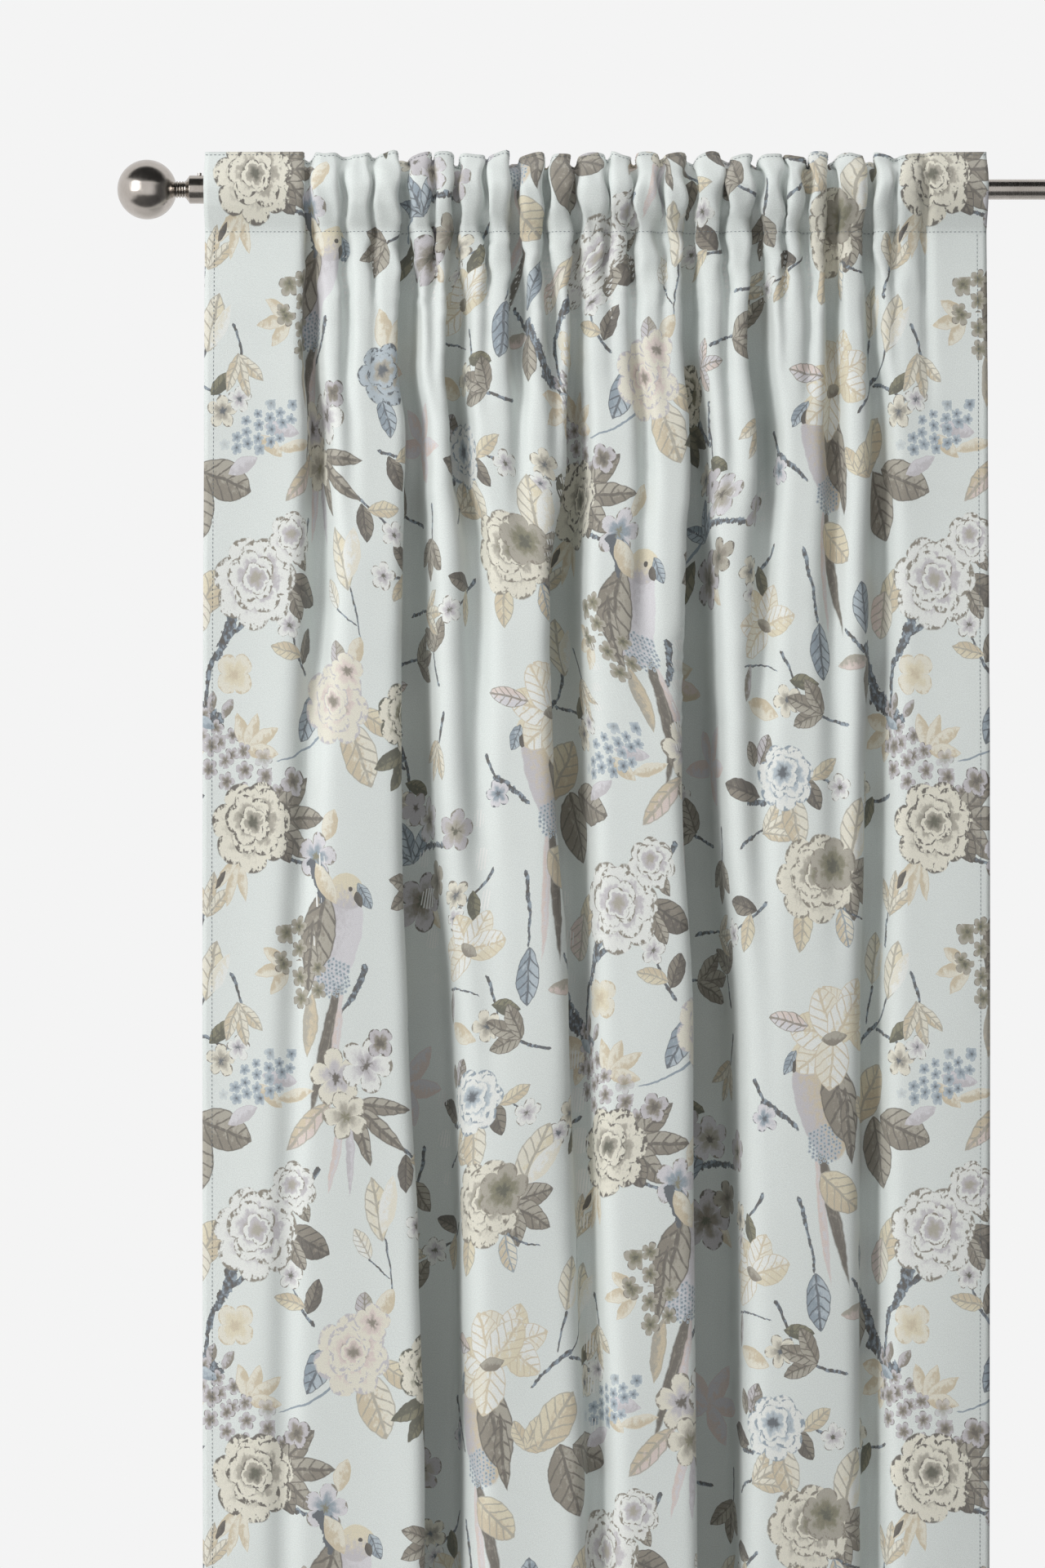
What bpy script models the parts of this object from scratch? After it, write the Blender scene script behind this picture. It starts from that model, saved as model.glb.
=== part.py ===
"""A printed curtain gathered on a telescopic steel pole with ball finials.

Metres, +Z up. +X runs along the pole and the front of the curtain faces -Y. The origin is on the pole's axis,
at the middle of the hung curtain.
"""

import math

import bmesh
import bpy
from mathutils import Matrix, Vector

# Curtain: how it hangs
HUNG_WIDTH = 0.774  # side to side once gathered
TOP_EDGE = 0.036  # top edge above the pole's axis
BOTTOM_EDGE = -2.364  # hem edge under the pole's axis
TOP_ROW = 0.033  # upper row of heading stitches
LOWER_ROW = -0.043  # lower row of heading stitches
SEAM_MARGIN = 0.0025  # lower row to the line on which the drop swings

# Curtain: cloth and trimmings
CLOTH = 0.0010
TAPE = 0.0010
THREAD = 0.0005
PLAIN_LEFT = 0.108  # ungathered cloth at each side
PLAIN_RIGHT = 0.079
RUFFLES = 22  # gathers over the pole
RUFFLE_DEPTH = 0.020
RUFFLE_ABOVE = [0.30, 0.25, 0.80]  # share of the depth at the rows above the pole, from the top edge
RUFFLE_BELOW = [0.80, 0.08, 0.0]  # and at the rows below it, down to the fold line
FOLDS = 5  # hanging folds lower down
FOLD_DEPTH = 0.100
FOLD_RUN_IN = 0.150  # height over which the hanging folds open
SIDE_HEM = 0.012
BOTTOM_HEM = 0.080
HEM_STITCH_INSET = 0.0015  # thread line inside the hem's turned edge
SIDE_HEM_DROP = 0.0050  # top of the side hems under the fold line
LOOPS = 8  # hook loops on the back of the tape
LOOP_WIDTH = 0.010
LOOP_HEIGHT = 0.014
LOOP_RISE = 0.0025
LOOP_STRAP = 0.0008
LOOP_FOOT = 0.0028  # sewn-down foot at each end of a loop
LABEL_WIDTH = 0.030
LABEL_HEIGHT = 0.045
LABEL_THICK = 0.0004
LABEL_ABOVE_HEM = 0.120

# Pole
OUTER_RADIUS = 0.0125
OUTER_WALL = 0.0010
OUTER_LENGTH = 0.700
INNER_RADIUS = 0.0100
INNER_WALL = 0.0010
TUBE_OVERLAP = 0.400  # how far the inner tube runs inside the outer one
LEFT_TUBE_PAST_EDGE = 0.0135  # left end of the pole past the curtain's edge
RIGHT_TUBE_PAST_EDGE = 0.173
POCKET_MOUTH_CLEAR = 0.0078  # wide mouth of the pocket past the left collar's inner end
MOUTH_BUSH_LENGTH = 0.030
TAIL_BUSH_LENGTH = 0.020
BUSH_LIP = 0.0015

# Finials
BALL_RADIUS = 0.0295
BALL_WALL = 0.0015
BALL_BOSS_RADIUS = 0.0060
BALL_BOSS_LENGTH = 0.0100
COLLAR_WALL = 0.0012
COLLAR_LENGTH = 0.0260  # straight part, over the tube's end
COLLAR_END_WALL = 0.0020
CONE_LENGTH = 0.0050
NECK_RADIUS = 0.0083
NECK_LENGTH = 0.0085
NECK_GROOVE_DEPTH = 0.0009
NECK_GROOVE_WIDTH = 0.0014
STUD_RADIUS = 0.0030
STUD_INSIDE = 0.0040  # stud standing inside the collar's end wall
SCREW_RADIUS = 0.0020
SCREW_ABOVE = 0.0024  # screw standing proud of the collar
SCREW_FROM_END = 0.0075  # screw's axis from the tube's end
SOCKET_RADIUS = 0.0011
SOCKET_DEPTH = 0.0012

# Fits
GAP = 0.0003  # between pieces that touch
SEAM_GAP = 0.0007  # between cloth and tape where they are sewn together
SWING_GAP = 0.0009  # open gap at the fold line

# Fineness
ROUND_STEPS = 24
BALL_STEPS = 9
TINY = 1e-6
SMALL_STEPS = 12
POCKET_STEPS = 3
COLUMNS_PER_RUFFLE = 4
COLUMNS_PER_FOLD = 8
RUN_IN_ROWS = 4
STRAIGHT_ROWS = 4

# Places that follow
FOLD_LINE = LOWER_ROW - SEAM_MARGIN
LEFT_EDGE = -HUNG_WIDTH / 2
RIGHT_EDGE = HUNG_WIDTH / 2
GATHER_START = LEFT_EDGE + PLAIN_LEFT
GATHER_END = RIGHT_EDGE - PLAIN_RIGHT
POLE_LEFT = LEFT_EDGE - LEFT_TUBE_PAST_EDGE
POLE_RIGHT = RIGHT_EDGE + RIGHT_TUBE_PAST_EDGE
OUTER_RIGHT = POLE_LEFT + OUTER_LENGTH
INNER_LEFT = OUTER_RIGHT - TUBE_OVERLAP
OUTER_BORE = OUTER_RADIUS - OUTER_WALL
INNER_BORE = INNER_RADIUS - INNER_WALL
COLLAR_RADIUS = OUTER_RADIUS + GAP + COLLAR_WALL
SEAM_HALF = (CLOTH + SEAM_GAP) / 2
POCKET_RADIUS = OUTER_RADIUS + GAP + CLOTH / 2
COLLAR_POCKET_RADIUS = COLLAR_RADIUS + GAP + CLOTH / 2

STEEL = ((0.62, 0.62, 0.61), 0.30, 1.0)
ZINC = ((0.70, 0.70, 0.68), 0.35, 1.0)
BLACK_PLASTIC = ((0.05, 0.05, 0.055), 0.45, 0.0)
GREY_PLASTIC = ((0.45, 0.45, 0.45), 0.50, 0.0)
PRINTED_COTTON = ((0.74, 0.78, 0.77), 0.85, 0.0)
TAPE_WHITE = ((0.86, 0.86, 0.84), 0.90, 0.0)
THREAD_BLUE = ((0.50, 0.56, 0.60), 0.70, 0.0)
LABEL_WHITE = ((0.90, 0.90, 0.89), 0.60, 0.0)


def clear_scene():
    for thing in list(bpy.data.objects):
        bpy.data.objects.remove(thing)


def finish_material(name, look):
    colour, roughness, metallic = look
    material = bpy.data.materials.new(name)
    material.use_nodes = True
    shader = material.node_tree.nodes["Principled BSDF"]
    shader.inputs["Base Color"].default_value = (*colour, 1.0)
    shader.inputs["Roughness"].default_value = roughness
    shader.inputs["Metallic"].default_value = metallic
    return material


def joint_axis(name, place):
    """An empty on a moving body's axis. Its pieces are parented to it."""
    axis = bpy.data.objects.new(name, None)
    axis.location = place
    bpy.context.scene.collection.objects.link(axis)
    return axis


def add_piece(name, data, axis, look):
    """Adds a mesh or curve drawn in world places, with its origin on its body's axis."""
    data.transform(Matrix.Translation(-axis.location))
    data.materials.append(finish_material(name, look))
    piece = bpy.data.objects.new(name, data)
    piece.parent = axis
    bpy.context.scene.collection.objects.link(piece)
    return piece


def to_mesh(name, bm, sharp=math.radians(35)):
    """Closes a bmesh into a mesh with its faces pointing out and round stretches smooth."""
    bmesh.ops.recalc_face_normals(bm, faces=bm.faces)
    mesh = bpy.data.meshes.new(name)
    bm.to_mesh(mesh)
    bm.free()
    mesh.shade_smooth()
    mesh.set_sharp_from_angle(angle=sharp)
    return mesh


def turned(name, profile, is_ring, steps=ROUND_STEPS):
    """Turns (x, radius) points about the X axis. A ring's last point joins its first."""
    bm = bmesh.new()
    points = [bm.verts.new((x, 0.0, radius)) for x, radius in profile]
    following = points[1:] + points[:1] if is_ring else points[1:]
    edges = [bm.edges.new(pair) for pair in zip(points, following)]
    bmesh.ops.spin(
        bm, geom=points + edges, angle=math.tau, steps=steps, axis=(1, 0, 0), cent=(0, 0, 0), use_merge=True
    )
    bmesh.ops.remove_doubles(bm, verts=bm.verts, dist=TINY)
    return to_mesh(name, bm)


def tube(name, low, high, outer, bore):
    return turned(name, [(low, bore), (low, outer), (high, outer), (high, bore)], True)


def cut(piece, cutter_mesh, place):
    """Cuts a hidden cutter out of a piece."""
    cutter = bpy.data.objects.new(piece.name + "_cutter", cutter_mesh)
    cutter.parent = piece.parent
    cutter.location = Vector(place) - piece.parent.location
    cutter.hide_render = True
    cutter.display_type = "WIRE"
    bpy.context.scene.collection.objects.link(cutter)
    boolean = piece.modifiers.new("cut", "BOOLEAN")
    boolean.operation = "DIFFERENCE"
    boolean.solver = "EXACT"
    boolean.object = cutter


def rod_mesh(name, radius, length, steps):
    """A solid rod centred on its own origin, along Z."""
    bm = bmesh.new()
    bmesh.ops.create_cone(
        bm, cap_ends=True, segments=steps, radius1=radius, radius2=radius, depth=length
    )
    return to_mesh(name, bm)


# Pole


def make_pole(pole, inner):
    tubes = [
        ("outer_tube", POLE_LEFT, OUTER_RIGHT, OUTER_RADIUS, OUTER_BORE, pole),
        ("inner_tube", INNER_LEFT, POLE_RIGHT, INNER_RADIUS, INNER_BORE, inner),
    ]
    for name, low, high, outer, bore, axis in tubes:
        add_piece(name, tube(name, low, high, outer, bore), axis, STEEL)
    mouth = [
        (OUTER_RIGHT - MOUTH_BUSH_LENGTH, INNER_RADIUS + GAP),
        (OUTER_RIGHT - MOUTH_BUSH_LENGTH, OUTER_BORE - GAP),
        (OUTER_RIGHT + GAP, OUTER_BORE - GAP),
        (OUTER_RIGHT + GAP, OUTER_RADIUS),
        (OUTER_RIGHT + GAP + BUSH_LIP, OUTER_RADIUS),
        (OUTER_RIGHT + GAP + BUSH_LIP, INNER_RADIUS + GAP),
    ]
    add_piece("mouth_bush", turned("mouth_bush", mouth, True), pole, BLACK_PLASTIC)
    tail = [
        (INNER_LEFT - GAP - BUSH_LIP, INNER_BORE),
        (INNER_LEFT - GAP - BUSH_LIP, OUTER_BORE - GAP),
        (INNER_LEFT + TAIL_BUSH_LENGTH, OUTER_BORE - GAP),
        (INNER_LEFT + TAIL_BUSH_LENGTH, INNER_RADIUS + GAP),
        (INNER_LEFT - GAP, INNER_RADIUS + GAP),
        (INNER_LEFT - GAP, INNER_BORE),
    ]
    add_piece("tail_bush", turned("tail_bush", tail, True), inner, BLACK_PLASTIC)
    sleeve = tube(
        "finial_sleeve", POLE_RIGHT - COLLAR_LENGTH, POLE_RIGHT, OUTER_RADIUS, INNER_RADIUS + GAP
    )
    add_piece("finial_sleeve", sleeve, inner, GREY_PLASTIC)


# Finials: every place is a distance outward from the tube's end


def collar_profile():
    shoulder = GAP + COLLAR_END_WALL
    bore = OUTER_RADIUS + GAP
    return [
        (shoulder + CONE_LENGTH, STUD_RADIUS + GAP),
        (shoulder + CONE_LENGTH, NECK_RADIUS),
        (shoulder, COLLAR_RADIUS),
        (shoulder - COLLAR_LENGTH, COLLAR_RADIUS),
        (shoulder - COLLAR_LENGTH, bore),
        (GAP, bore),
        (GAP, STUD_RADIUS + GAP),
    ]


def neck_places():
    start = GAP + COLLAR_END_WALL + CONE_LENGTH + GAP
    return start, start + NECK_LENGTH


def neck_profile():
    """A turned neck with two round grooves between three rings."""
    start, end = neck_places()
    outside = [(start, NECK_RADIUS)]
    for third in (1, 2):
        middle = start + NECK_LENGTH * third / 3
        outside += [
            (middle - NECK_GROOVE_WIDTH / 2, NECK_RADIUS),
            (middle, NECK_RADIUS - NECK_GROOVE_DEPTH),
            (middle + NECK_GROOVE_WIDTH / 2, NECK_RADIUS),
        ]
    outside.append((end, NECK_RADIUS))
    return [(start, STUD_RADIUS + GAP)] + outside + [(end, STUD_RADIUS + GAP)]


def ball_centre():
    """The ball's flat seat, a little wider than the neck, meets the neck's end."""
    seat_radius = NECK_RADIUS + 2 * GAP
    return neck_places()[1] + GAP + math.sqrt(BALL_RADIUS**2 - seat_radius**2)


def ball_profile():
    """A spun hollow ball with a drilled boss inside its seat."""
    centre = ball_centre()
    seat = neck_places()[1] + GAP
    bore = STUD_RADIUS + GAP
    inner = BALL_RADIUS - BALL_WALL
    seat_angle = math.acos((centre - seat) / BALL_RADIUS)
    boss_angle = math.asin(BALL_BOSS_RADIUS / inner)

    def on_sphere(radius, angle):
        return centre - radius * math.cos(angle), radius * math.sin(angle)

    outside = [
        on_sphere(BALL_RADIUS, seat_angle + (math.pi - seat_angle) * k / BALL_STEPS)
        for k in range(BALL_STEPS)
    ]
    inside = [
        on_sphere(inner, math.pi - (math.pi - boss_angle) * k / BALL_STEPS)
        for k in range(1, BALL_STEPS + 1)
    ]
    boss_end = seat + BALL_BOSS_LENGTH
    boss = [(boss_end, BALL_BOSS_RADIUS), (boss_end, bore), (seat, bore)]
    return [(centre + inner, 0.0)] + inside + boss + outside + [(centre + BALL_RADIUS, 0.0)]


def make_finial(side, sign, tube_end, finial, ball, screw):
    def outward(profile):
        return [(tube_end + sign * x, radius) for x, radius in profile]

    name = side + "_collar"
    collar = add_piece(name, turned(name, outward(collar_profile()), True), finial, STEEL)
    screw_x = tube_end - sign * SCREW_FROM_END
    hole = rod_mesh(side + "_screw_hole", SCREW_RADIUS + GAP, COLLAR_RADIUS, SMALL_STEPS)
    cut(collar, hole, (screw_x, 0.0, COLLAR_RADIUS))

    name = side + "_neck"
    add_piece(name, turned(name, outward(neck_profile()), True), finial, STEEL)

    name = side + "_stud"
    stud_end = neck_places()[1] + BALL_BOSS_LENGTH
    stud = [(-STUD_INSIDE, 0.0), (-STUD_INSIDE, STUD_RADIUS), (stud_end, STUD_RADIUS), (stud_end, 0.0)]
    add_piece(name, turned(name, outward(stud), False), finial, ZINC)

    name = side + "_ball"
    add_piece(name, turned(name, outward(ball_profile()), False), ball, STEEL)

    name = side + "_set_screw"
    bottom = OUTER_RADIUS + GAP
    top = COLLAR_RADIUS + SCREW_ABOVE
    rod = rod_mesh(name, SCREW_RADIUS, top - bottom, SMALL_STEPS)
    rod.transform(Matrix.Translation((screw_x, 0.0, (top + bottom) / 2)))
    grub = add_piece(name, rod, screw, ZINC)
    socket = rod_mesh(name + "_socket", SOCKET_RADIUS, 2 * SOCKET_DEPTH, 6)
    cut(grub, socket, (screw_x, 0.0, top))


# Heading


def wave(x, count):
    """Where x lies in a run of gathers: 0 in the plain ends, else the angle round the gathers."""
    if not GATHER_START < x < GATHER_END:
        return 0.0
    return math.tau * count * (x - GATHER_START) / (GATHER_END - GATHER_START)


def gathered_columns(count, per_gather):
    """X places across the curtain, closest in the gathers and round the collar's end."""
    total = count * per_gather
    inner = [GATHER_START + (GATHER_END - GATHER_START) * k / total for k in range(total + 1)]
    return [LEFT_EDGE, collar_cover_end(), pocket_narrow_end()] + inner + [RIGHT_EDGE]


def collar_cover_end():
    """Where the wide mouth of the pocket, over the left collar, ends."""
    collar_mouth = POLE_LEFT + COLLAR_LENGTH - COLLAR_END_WALL - GAP
    return collar_mouth + POCKET_MOUTH_CLEAR


def pocket_narrow_end():
    return collar_cover_end() + COLLAR_LENGTH


def pocket_radius(x):
    """The pocket lies on the tube, and on the collar at its left mouth."""
    if x <= collar_cover_end() + TINY:
        return COLLAR_POCKET_RADIUS
    return POCKET_RADIUS


def pocket_section(x, side, top, bottom_y, bottom):
    """(y, z) points of one skin of the pocket, drawn taut round the pole from seam to seam.

    side is -1 for the printed front and 1 for the tape behind.
    """
    radius = pocket_radius(x)

    def lean(height):
        return math.atan2(SEAM_HALF, height) + math.acos(radius / math.hypot(SEAM_HALF, height))

    first = lean(TOP_ROW)
    last = math.pi - lean(-LOWER_ROW)
    step = (last - first) / POCKET_STEPS
    clear = radius / math.cos(step / 2)
    round_pole = [
        (clear * math.sin(first + k * step), clear * math.cos(first + k * step))
        for k in range(POCKET_STEPS + 1)
    ]

    def halfway(seam_z, corner):
        return (SEAM_HALF + corner[0]) / 2, (seam_z + corner[1]) / 2

    skin = [(SEAM_HALF, top), (SEAM_HALF, TOP_ROW), halfway(TOP_ROW, round_pole[0])]
    skin += round_pole
    skin += [halfway(LOWER_ROW, round_pole[-1]), (SEAM_HALF, LOWER_ROW), (bottom_y, bottom)]
    return [(side * y, z) for y, z in skin]


def ruffle(x, row, rows):
    """How far a gather stands forward at a column. It is drawn in at the two stitch rows."""
    shares = RUFFLE_ABOVE + [1.0] * (rows - len(RUFFLE_ABOVE) - len(RUFFLE_BELOW)) + RUFFLE_BELOW
    return RUFFLE_DEPTH * shares[row] * (0.5 - 0.5 * math.cos(wave(x, RUFFLES)))


def add_cloth(name, grid, thickness, axis, look):
    """A sheet of given thickness around a grid of points, grid[column][row]."""
    bm = bmesh.new()
    points = [[bm.verts.new(place) for place in column] for column in grid]
    for left, right in zip(points, points[1:]):
        for row in range(len(left) - 1):
            bm.faces.new((left[row], left[row + 1], right[row + 1]))
            bm.faces.new((left[row], right[row + 1], right[row]))
    mesh = bpy.data.meshes.new(name)
    bm.to_mesh(mesh)
    bm.free()
    mesh.shade_smooth()
    piece = add_piece(name, mesh, axis, look)
    solidify = piece.modifiers.new("thickness", "SOLIDIFY")
    solidify.thickness = thickness
    solidify.offset = 0.0
    return piece


def heading_rows(x):
    section = pocket_section(x, -1, TOP_EDGE, 0.0, FOLD_LINE + SWING_GAP / 2)
    return [Vector((x, y - ruffle(x, row, len(section)), z)) for row, (y, z) in enumerate(section)]


def stand_off(path, distance):
    """Moves a path forward of the cloth, square to it in plan, or behind it if distance is negative."""
    runs = [end - start for start, end in zip(path, path[1:])]
    faces = [Vector((run.y, -run.x, 0.0)).normalized() for run in runs]
    moved = []
    for place, before, after in zip(path, faces[:1] + faces, faces + faces[-1:]):
        moved.append(place + distance * (before + after) / (1 + before.dot(after)))
    return moved


def add_thread(name, path, axis):
    """A row of stitches as one fine cord along a path."""
    curve = bpy.data.curves.new(name, "CURVE")
    curve.dimensions = "3D"
    curve.bevel_depth = THREAD / 2
    curve.bevel_resolution = 0
    curve.use_fill_caps = True
    spline = curve.splines.new("POLY")
    spline.points.add(len(path) - 1)
    for point, place in zip(spline.points, path):
        point.co = (*place, 1.0)
    add_piece(name, curve, axis, THREAD_BLUE)


def make_heading(heading):
    columns = gathered_columns(RUFFLES, COLUMNS_PER_RUFFLE)
    front = [heading_rows(x) for x in columns]
    add_cloth("heading_cloth", front, CLOTH, heading, PRINTED_COTTON)

    tape_columns = [LEFT_EDGE, collar_cover_end(), pocket_narrow_end(), 0.0, RIGHT_EDGE]
    back = [
        [Vector((x, y, z)) for y, z in pocket_section(x, 1, TOP_EDGE - GAP, SEAM_HALF, LOWER_ROW - GAP)]
        for x in tape_columns
    ]
    add_cloth("heading_tape", back, TAPE, heading, TAPE_WHITE)

    clear = CLOTH / 2 + GAP + THREAD / 2
    for name, row in (("top_stitching", 1), ("lower_stitching", -2)):
        add_thread(name, stand_off([column[row] for column in front], clear), heading)


def make_loops(heading):
    """Hook loops: flat arches on the sloping lower part of the tape."""
    section = pocket_section(RIGHT_EDGE, 1, TOP_EDGE, SEAM_HALF, LOWER_ROW)
    upper, lower = Vector((0.0, *section[-4])), Vector((0.0, *section[-2]))
    down = (lower - upper).normalized()
    out = Vector((0.0, -down.z, down.y))
    middle = (upper + lower) / 2 + (TAPE / 2 + GAP) * out
    half = LOOP_HEIGHT / 2
    foot = half - LOOP_FOOT
    crown = foot - LOOP_RISE
    rounding = LOOP_STRAP / 2
    under = [(half, 0.0), (foot, 0.0), (crown, LOOP_RISE)]
    over = [(crown + rounding, LOOP_RISE + LOOP_STRAP), (foot + rounding, LOOP_STRAP), (half, LOOP_STRAP)]
    upper_half = under + over
    lower_half = [(-along, rise) for along, rise in upper_half]
    outline = lower_half[:3] + under[::-1] + over[::-1] + lower_half[3:]
    pitch = (RIGHT_EDGE - pocket_narrow_end()) / LOOPS
    for k in range(LOOPS):
        name = f"tape_loop_{k + 1}"
        x = pocket_narrow_end() + pitch * (k + 0.5) - LOOP_WIDTH / 2
        bm = bmesh.new()
        start = middle + Vector((x, 0, 0))
        corners = [bm.verts.new(start + along * down + rise * out) for along, rise in outline]
        face = bm.faces.new(corners)
        swept = bmesh.ops.extrude_face_region(bm, geom=[face])["geom"]
        moved = [part for part in swept if isinstance(part, bmesh.types.BMVert)]
        bmesh.ops.translate(bm, verts=moved, vec=(LOOP_WIDTH, 0, 0))
        add_piece(name, to_mesh(name, bm), heading, TAPE_WHITE)


# Drop


def fold_y(x, z):
    """The hanging folds: nothing at the fold line, then opening to their full depth."""
    opened = min(1.0, (FOLD_LINE - z) / FOLD_RUN_IN)
    return FOLD_DEPTH / 2 * math.sin(math.pi / 2 * opened) * math.sin(wave(x, FOLDS))


def drop_rows(x):
    top = FOLD_LINE - SWING_GAP / 2
    run_in = [top - FOLD_RUN_IN * k / RUN_IN_ROWS for k in range(RUN_IN_ROWS + 1)]
    straight = [
        run_in[-1] + (BOTTOM_EDGE - run_in[-1]) * k / STRAIGHT_ROWS for k in range(1, STRAIGHT_ROWS + 1)
    ]
    return [Vector((x, fold_y(x, z), z)) for z in run_in + straight]


def make_drop(drop):
    columns = gathered_columns(FOLDS, COLUMNS_PER_FOLD)
    add_cloth("panel_cloth", [drop_rows(x) for x in columns], CLOTH, drop, PRINTED_COTTON)

    behind = CLOTH + GAP
    hem_top = BOTTOM_EDGE + BOTTOM_HEM

    def row_at(z, distance):
        return stand_off([Vector((x, fold_y(x, z), z)) for x in columns], distance)

    low = row_at(BOTTOM_EDGE, -behind)
    high = row_at(hem_top, -behind)
    add_cloth("bottom_hem", [list(pair) for pair in zip(low, high)], CLOTH, drop, PRINTED_COTTON)
    front = CLOTH / 2 + GAP + THREAD / 2
    add_thread("bottom_stitching", row_at(hem_top - HEM_STITCH_INSET, front), drop)

    side_top = FOLD_LINE - SIDE_HEM_DROP
    side_low = hem_top + GAP
    for side, edge, inward in (("left", LEFT_EDGE, 1), ("right", RIGHT_EDGE, -1)):
        turned_in = [
            [Vector((x, behind, z)) for z in (side_low, side_top)]
            for x in (edge, edge + inward * SIDE_HEM)
        ]
        add_cloth(side + "_side_hem", turned_in, CLOTH, drop, PRINTED_COTTON)
        stitch_x = edge + inward * (SIDE_HEM - HEM_STITCH_INSET)
        add_thread(side + "_side_stitching", [(stitch_x, -front, side_top), (stitch_x, -front, side_low)], drop)

    label_low = side_low + LABEL_ABOVE_HEM
    label_y = behind + CLOTH / 2 + GAP + LABEL_THICK / 2
    label_x = LEFT_EDGE + SIDE_HEM / 2
    label = [
        [Vector((x, label_y, z)) for z in (label_low, label_low + LABEL_HEIGHT)]
        for x in (label_x, label_x + LABEL_WIDTH)
    ]
    add_cloth("care_label", label, LABEL_THICK, drop, LABEL_WHITE)


def main():
    clear_scene()
    pole = joint_axis("pole_body", (0, 0, 0))
    inner = joint_axis("inner_body", (0, 0, 0))
    make_pole(pole, inner)
    for side, sign, tube_end in (("left", -1, POLE_LEFT), ("right", 1, POLE_RIGHT)):
        finial = joint_axis(side + "_finial_body", (tube_end, 0, 0))
        ball = joint_axis(side + "_ball_axis", (tube_end + sign * ball_centre(), 0, 0))
        screw = joint_axis(side + "_screw_axis", (tube_end - sign * SCREW_FROM_END, 0, COLLAR_RADIUS))
        make_finial(side, sign, tube_end, finial, ball, screw)
    heading = joint_axis("heading_body", (0, 0, 0))
    make_heading(heading)
    make_loops(heading)
    make_drop(joint_axis("drop_axis", (0, 0, FOLD_LINE)))


main()
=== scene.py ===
"""A printed curtain gathered on a steel pole: draped cloth and its print, tape, stitches and steel."""

import math

import bmesh
import bpy
import numpy as np
from mathutils import Matrix, Vector


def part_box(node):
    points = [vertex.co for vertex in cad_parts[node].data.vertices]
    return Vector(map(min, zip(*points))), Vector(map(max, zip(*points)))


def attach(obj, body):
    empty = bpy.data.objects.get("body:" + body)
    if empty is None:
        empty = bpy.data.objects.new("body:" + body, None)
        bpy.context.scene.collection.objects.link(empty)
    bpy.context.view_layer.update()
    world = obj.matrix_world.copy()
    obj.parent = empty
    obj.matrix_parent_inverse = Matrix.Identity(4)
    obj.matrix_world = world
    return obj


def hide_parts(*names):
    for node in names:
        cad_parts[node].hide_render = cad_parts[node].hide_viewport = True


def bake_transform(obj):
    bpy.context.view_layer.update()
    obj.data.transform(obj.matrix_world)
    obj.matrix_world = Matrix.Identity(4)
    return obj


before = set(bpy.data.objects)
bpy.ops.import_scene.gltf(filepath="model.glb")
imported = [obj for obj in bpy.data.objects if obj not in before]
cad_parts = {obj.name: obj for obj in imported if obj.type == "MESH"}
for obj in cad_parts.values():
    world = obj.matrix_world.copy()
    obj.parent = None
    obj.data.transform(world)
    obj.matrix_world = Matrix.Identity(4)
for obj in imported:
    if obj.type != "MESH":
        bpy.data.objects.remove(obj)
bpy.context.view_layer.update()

# Places taken from the frame
PANEL_LOW, PANEL_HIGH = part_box("panel_cloth")
HEAD_LOW, HEAD_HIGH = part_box("heading_cloth")
LEFT_EDGE, RIGHT_EDGE = PANEL_LOW.x, PANEL_HIGH.x
HUNG_WIDTH = RIGHT_EDGE - LEFT_EDGE
TOP_Z, BOTTOM_Z = HEAD_HIGH.z, PANEL_LOW.z
FOLD_LINE_Z = (HEAD_LOW.z + PANEL_HIGH.z) / 2
LOWER_ROW = TOP_Z - sum(corner.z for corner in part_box("lower_stitching")) / 2
TOP_ROW = TOP_Z - sum(corner.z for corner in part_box("top_stitching")) / 2
POLE_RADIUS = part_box("outer_tube")[1].z

# Cloth
FLAT_WIDTH = 1.40
FLAT_LENGTH = TOP_Z - BOTTOM_Z
POLE_CLEARANCE = 0.0022  # between the pole and the middle of the cloth in front of it
CLOTH = 0.0006
TAPE = 0.0008
TAPE_BEHIND = 0.0011  # tape behind the cloth where they are sewn together
TAPE_PAST_ROW = 0.0035
SIDE_HEM = 0.0120
BOTTOM_HEM = 0.080
STITCH_PITCH = 0.0042
STITCH_LENGTH = 0.0028
THREAD = 0.0007
REPEAT = 0.64  # the print's repeat, across and down; every other column is half a repeat lower
PATCH = REPEAT / 4  # the print is painted in square patches, each with its own motifs
EPS = 1e-6
SEED = 7


def smooth(x):
    x = np.clip(x, 0.0, 1.0)
    return x * x * (3 - 2 * x)


# ---------------------------------------------------------------- drape

# Levels down the cloth at which the hanging folds are set, in metres below the top edge
LEVELS = np.array([0.00, 0.07, 0.17, 0.28, 0.430, 0.62, 0.86, 1.10, 1.31, 1.75, 2.40])
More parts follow.
